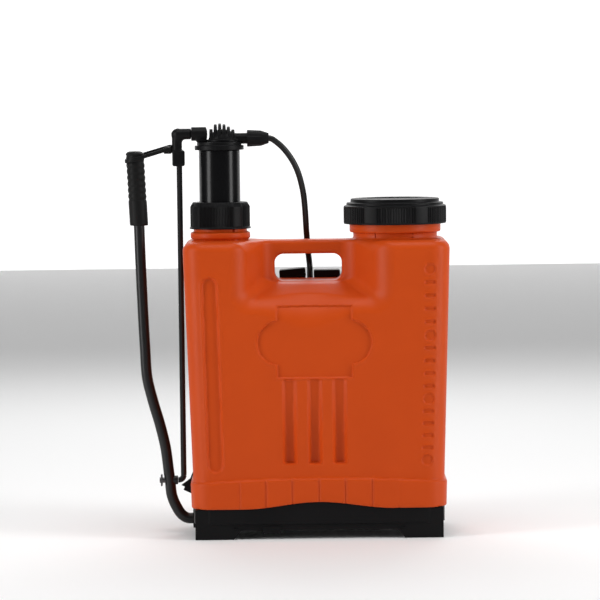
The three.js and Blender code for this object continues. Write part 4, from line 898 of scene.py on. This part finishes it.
def hoseLine():
    # down the front of the coil, round it clockwise as the front sees it, and on to the lance
    x0, z0 = hoseLook["middle"]
    angle = -np.linspace(0, hoseLook["turns"] * 2 * np.pi, 60)[1:-1]
    depth = np.interp(-angle, [0, hoseLook["turns"] * 2 * np.pi], [98.0, 106.8])
    radius = hoseLook["coilRadius"]
    coil = np.stack([x0 + radius * np.cos(angle), depth, z0 + radius * np.sin(angle)], -1)
    return smoothLine(np.concatenate([upperRoute, coil, lowerRoute]), 2.6)


def makeHose():
    line = hoseLine()
    hose = sweepTube("hose", line, hoseLook["radius"], sides=20)
    hose = settle(hose, "hose_upper", "hose_coil", "hose_lower", body="none")
    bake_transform(hose)


makeHose()


# straps
# share of the way across to the hook, distance behind the tank's rear, and drop below the opening's floor
strapBow = [[0, -2.4, 4.6], [0, 7, 2], [0.01, 15, -10], [0.03, 27, -34], [0.09, 46, -80], [0.2, 60, -135],
            [0.38, 65, -195], [0.6, 58, -245], [0.8, 36, -272], [0.94, 17, -290], [1, 13.4, -309]]


def strapLine(side):
    start, end = (-34.2, -178.0) if side < 0 else (16.0, 160.0)
    points = [[start + (end - start) * share, 89 + behind, 366 + drop] for share, behind, drop in strapBow]
    return smoothLine(points, 1.0)


def stretch(line, first, last, spacing):
    # the part of a line between two shares of its length, evenly spaced
    run = np.concatenate([[0], np.cumsum(np.linalg.norm(np.diff(line, axis=0), axis=1))])
    total = run[-1]
    stations = np.linspace(first * total, last * total, int((last - first) * total / spacing))
    return np.stack([np.interp(stations, run, line[:, k]) for k in range(3)], -1)


def makeStraps():
    for side, word in ((-1, "left"), (1, "right")):
        line = strapLine(side)
        padLine = stretch(line, 0.012, 0.56, 1.6)

        def crown(t, u):
            # soft across the width, sewn down near both edges and at every quilting seam
            ends = np.clip(np.minimum(t, 1 - t) * 30, 0, 1) ** 0.5
            seam = 1 - 0.35 * np.exp(-(((np.abs(u) - 0.78) / 0.06) ** 2))
            rows = 1 - 0.22 * np.exp(-((((t * 7) % 1 - 0.5) / 0.03) ** 2))
            return (0.55 + 0.45 * np.sqrt(np.clip(1 - u**2, 0, 1))) * seam * rows * (0.45 + 0.55 * ends)

        pad = sweepStrip("pad_" + word, padLine, 38.6, 6.0, sides=72, power=4.0, puff=crown)
        settle(pad, "shoulder_pad_" + word)
        web = sweepStrip("web_" + word, stretch(line, 0.567, 1.0, 1.6), 30.0, 2.2, sides=32, power=6.0)
        settle(web, "strap_web_" + word)


makeStraps()


# rubber band that holds the lever to the link for carrying
def makeBand():
    low, high = localBox("retaining_band")
    lug, gripX = -211.5, -259.7
    angle = np.linspace(0, 2 * np.pi, 180, endpoint=False)
    # a loop round the lug and the grip: two arcs and the straight strands between them
    big, small = 14.1, 4.9
    thickHalf, wideHalf = 1.0, 2.6
    centres = np.where(np.cos(angle) < 0, gripX, lug)
    radii = np.where(np.cos(angle) < 0, big, small)
    rough = np.stack([centres + radii * np.cos(angle), radii * np.sin(angle)], -1)
    height = np.interp(rough[:, 0], [gripX - big, lug + small], [low[2] + 4.4, high[2] - 4.4])
    height = height + 1.7 * np.sin(angle)
    line = np.stack([rough[:, 0], rough[:, 1], height], -1)
    closedLine = smoothLine(np.concatenate([line, line[:1]]), 1.2)[:-1]
    tangent = np.roll(closedLine, -1, axis=0) - np.roll(closedLine, 1, axis=0)
    tangent /= np.linalg.norm(tangent, axis=1, keepdims=True)
    out = np.cross(tangent, [0, 0, 1.0])
    out /= np.linalg.norm(out, axis=1, keepdims=True)
    up = np.cross(out, tangent)
    turn = np.linspace(0, 2 * np.pi, 16, endpoint=False)[None, :, None]
    u = np.sign(np.cos(turn)) * np.abs(np.cos(turn)) ** 0.5
    v = np.sign(np.sin(turn)) * np.abs(np.sin(turn)) ** 0.5
    grid = closedLine[:, None] + thickHalf * u * out[:, None] + wideHalf * v * up[:, None]
    band = gridPiece("band", grid, wrapRows=True)
    settle(band, "retaining_band")
    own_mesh(band)


makeBand()
print("soft pieces ready")
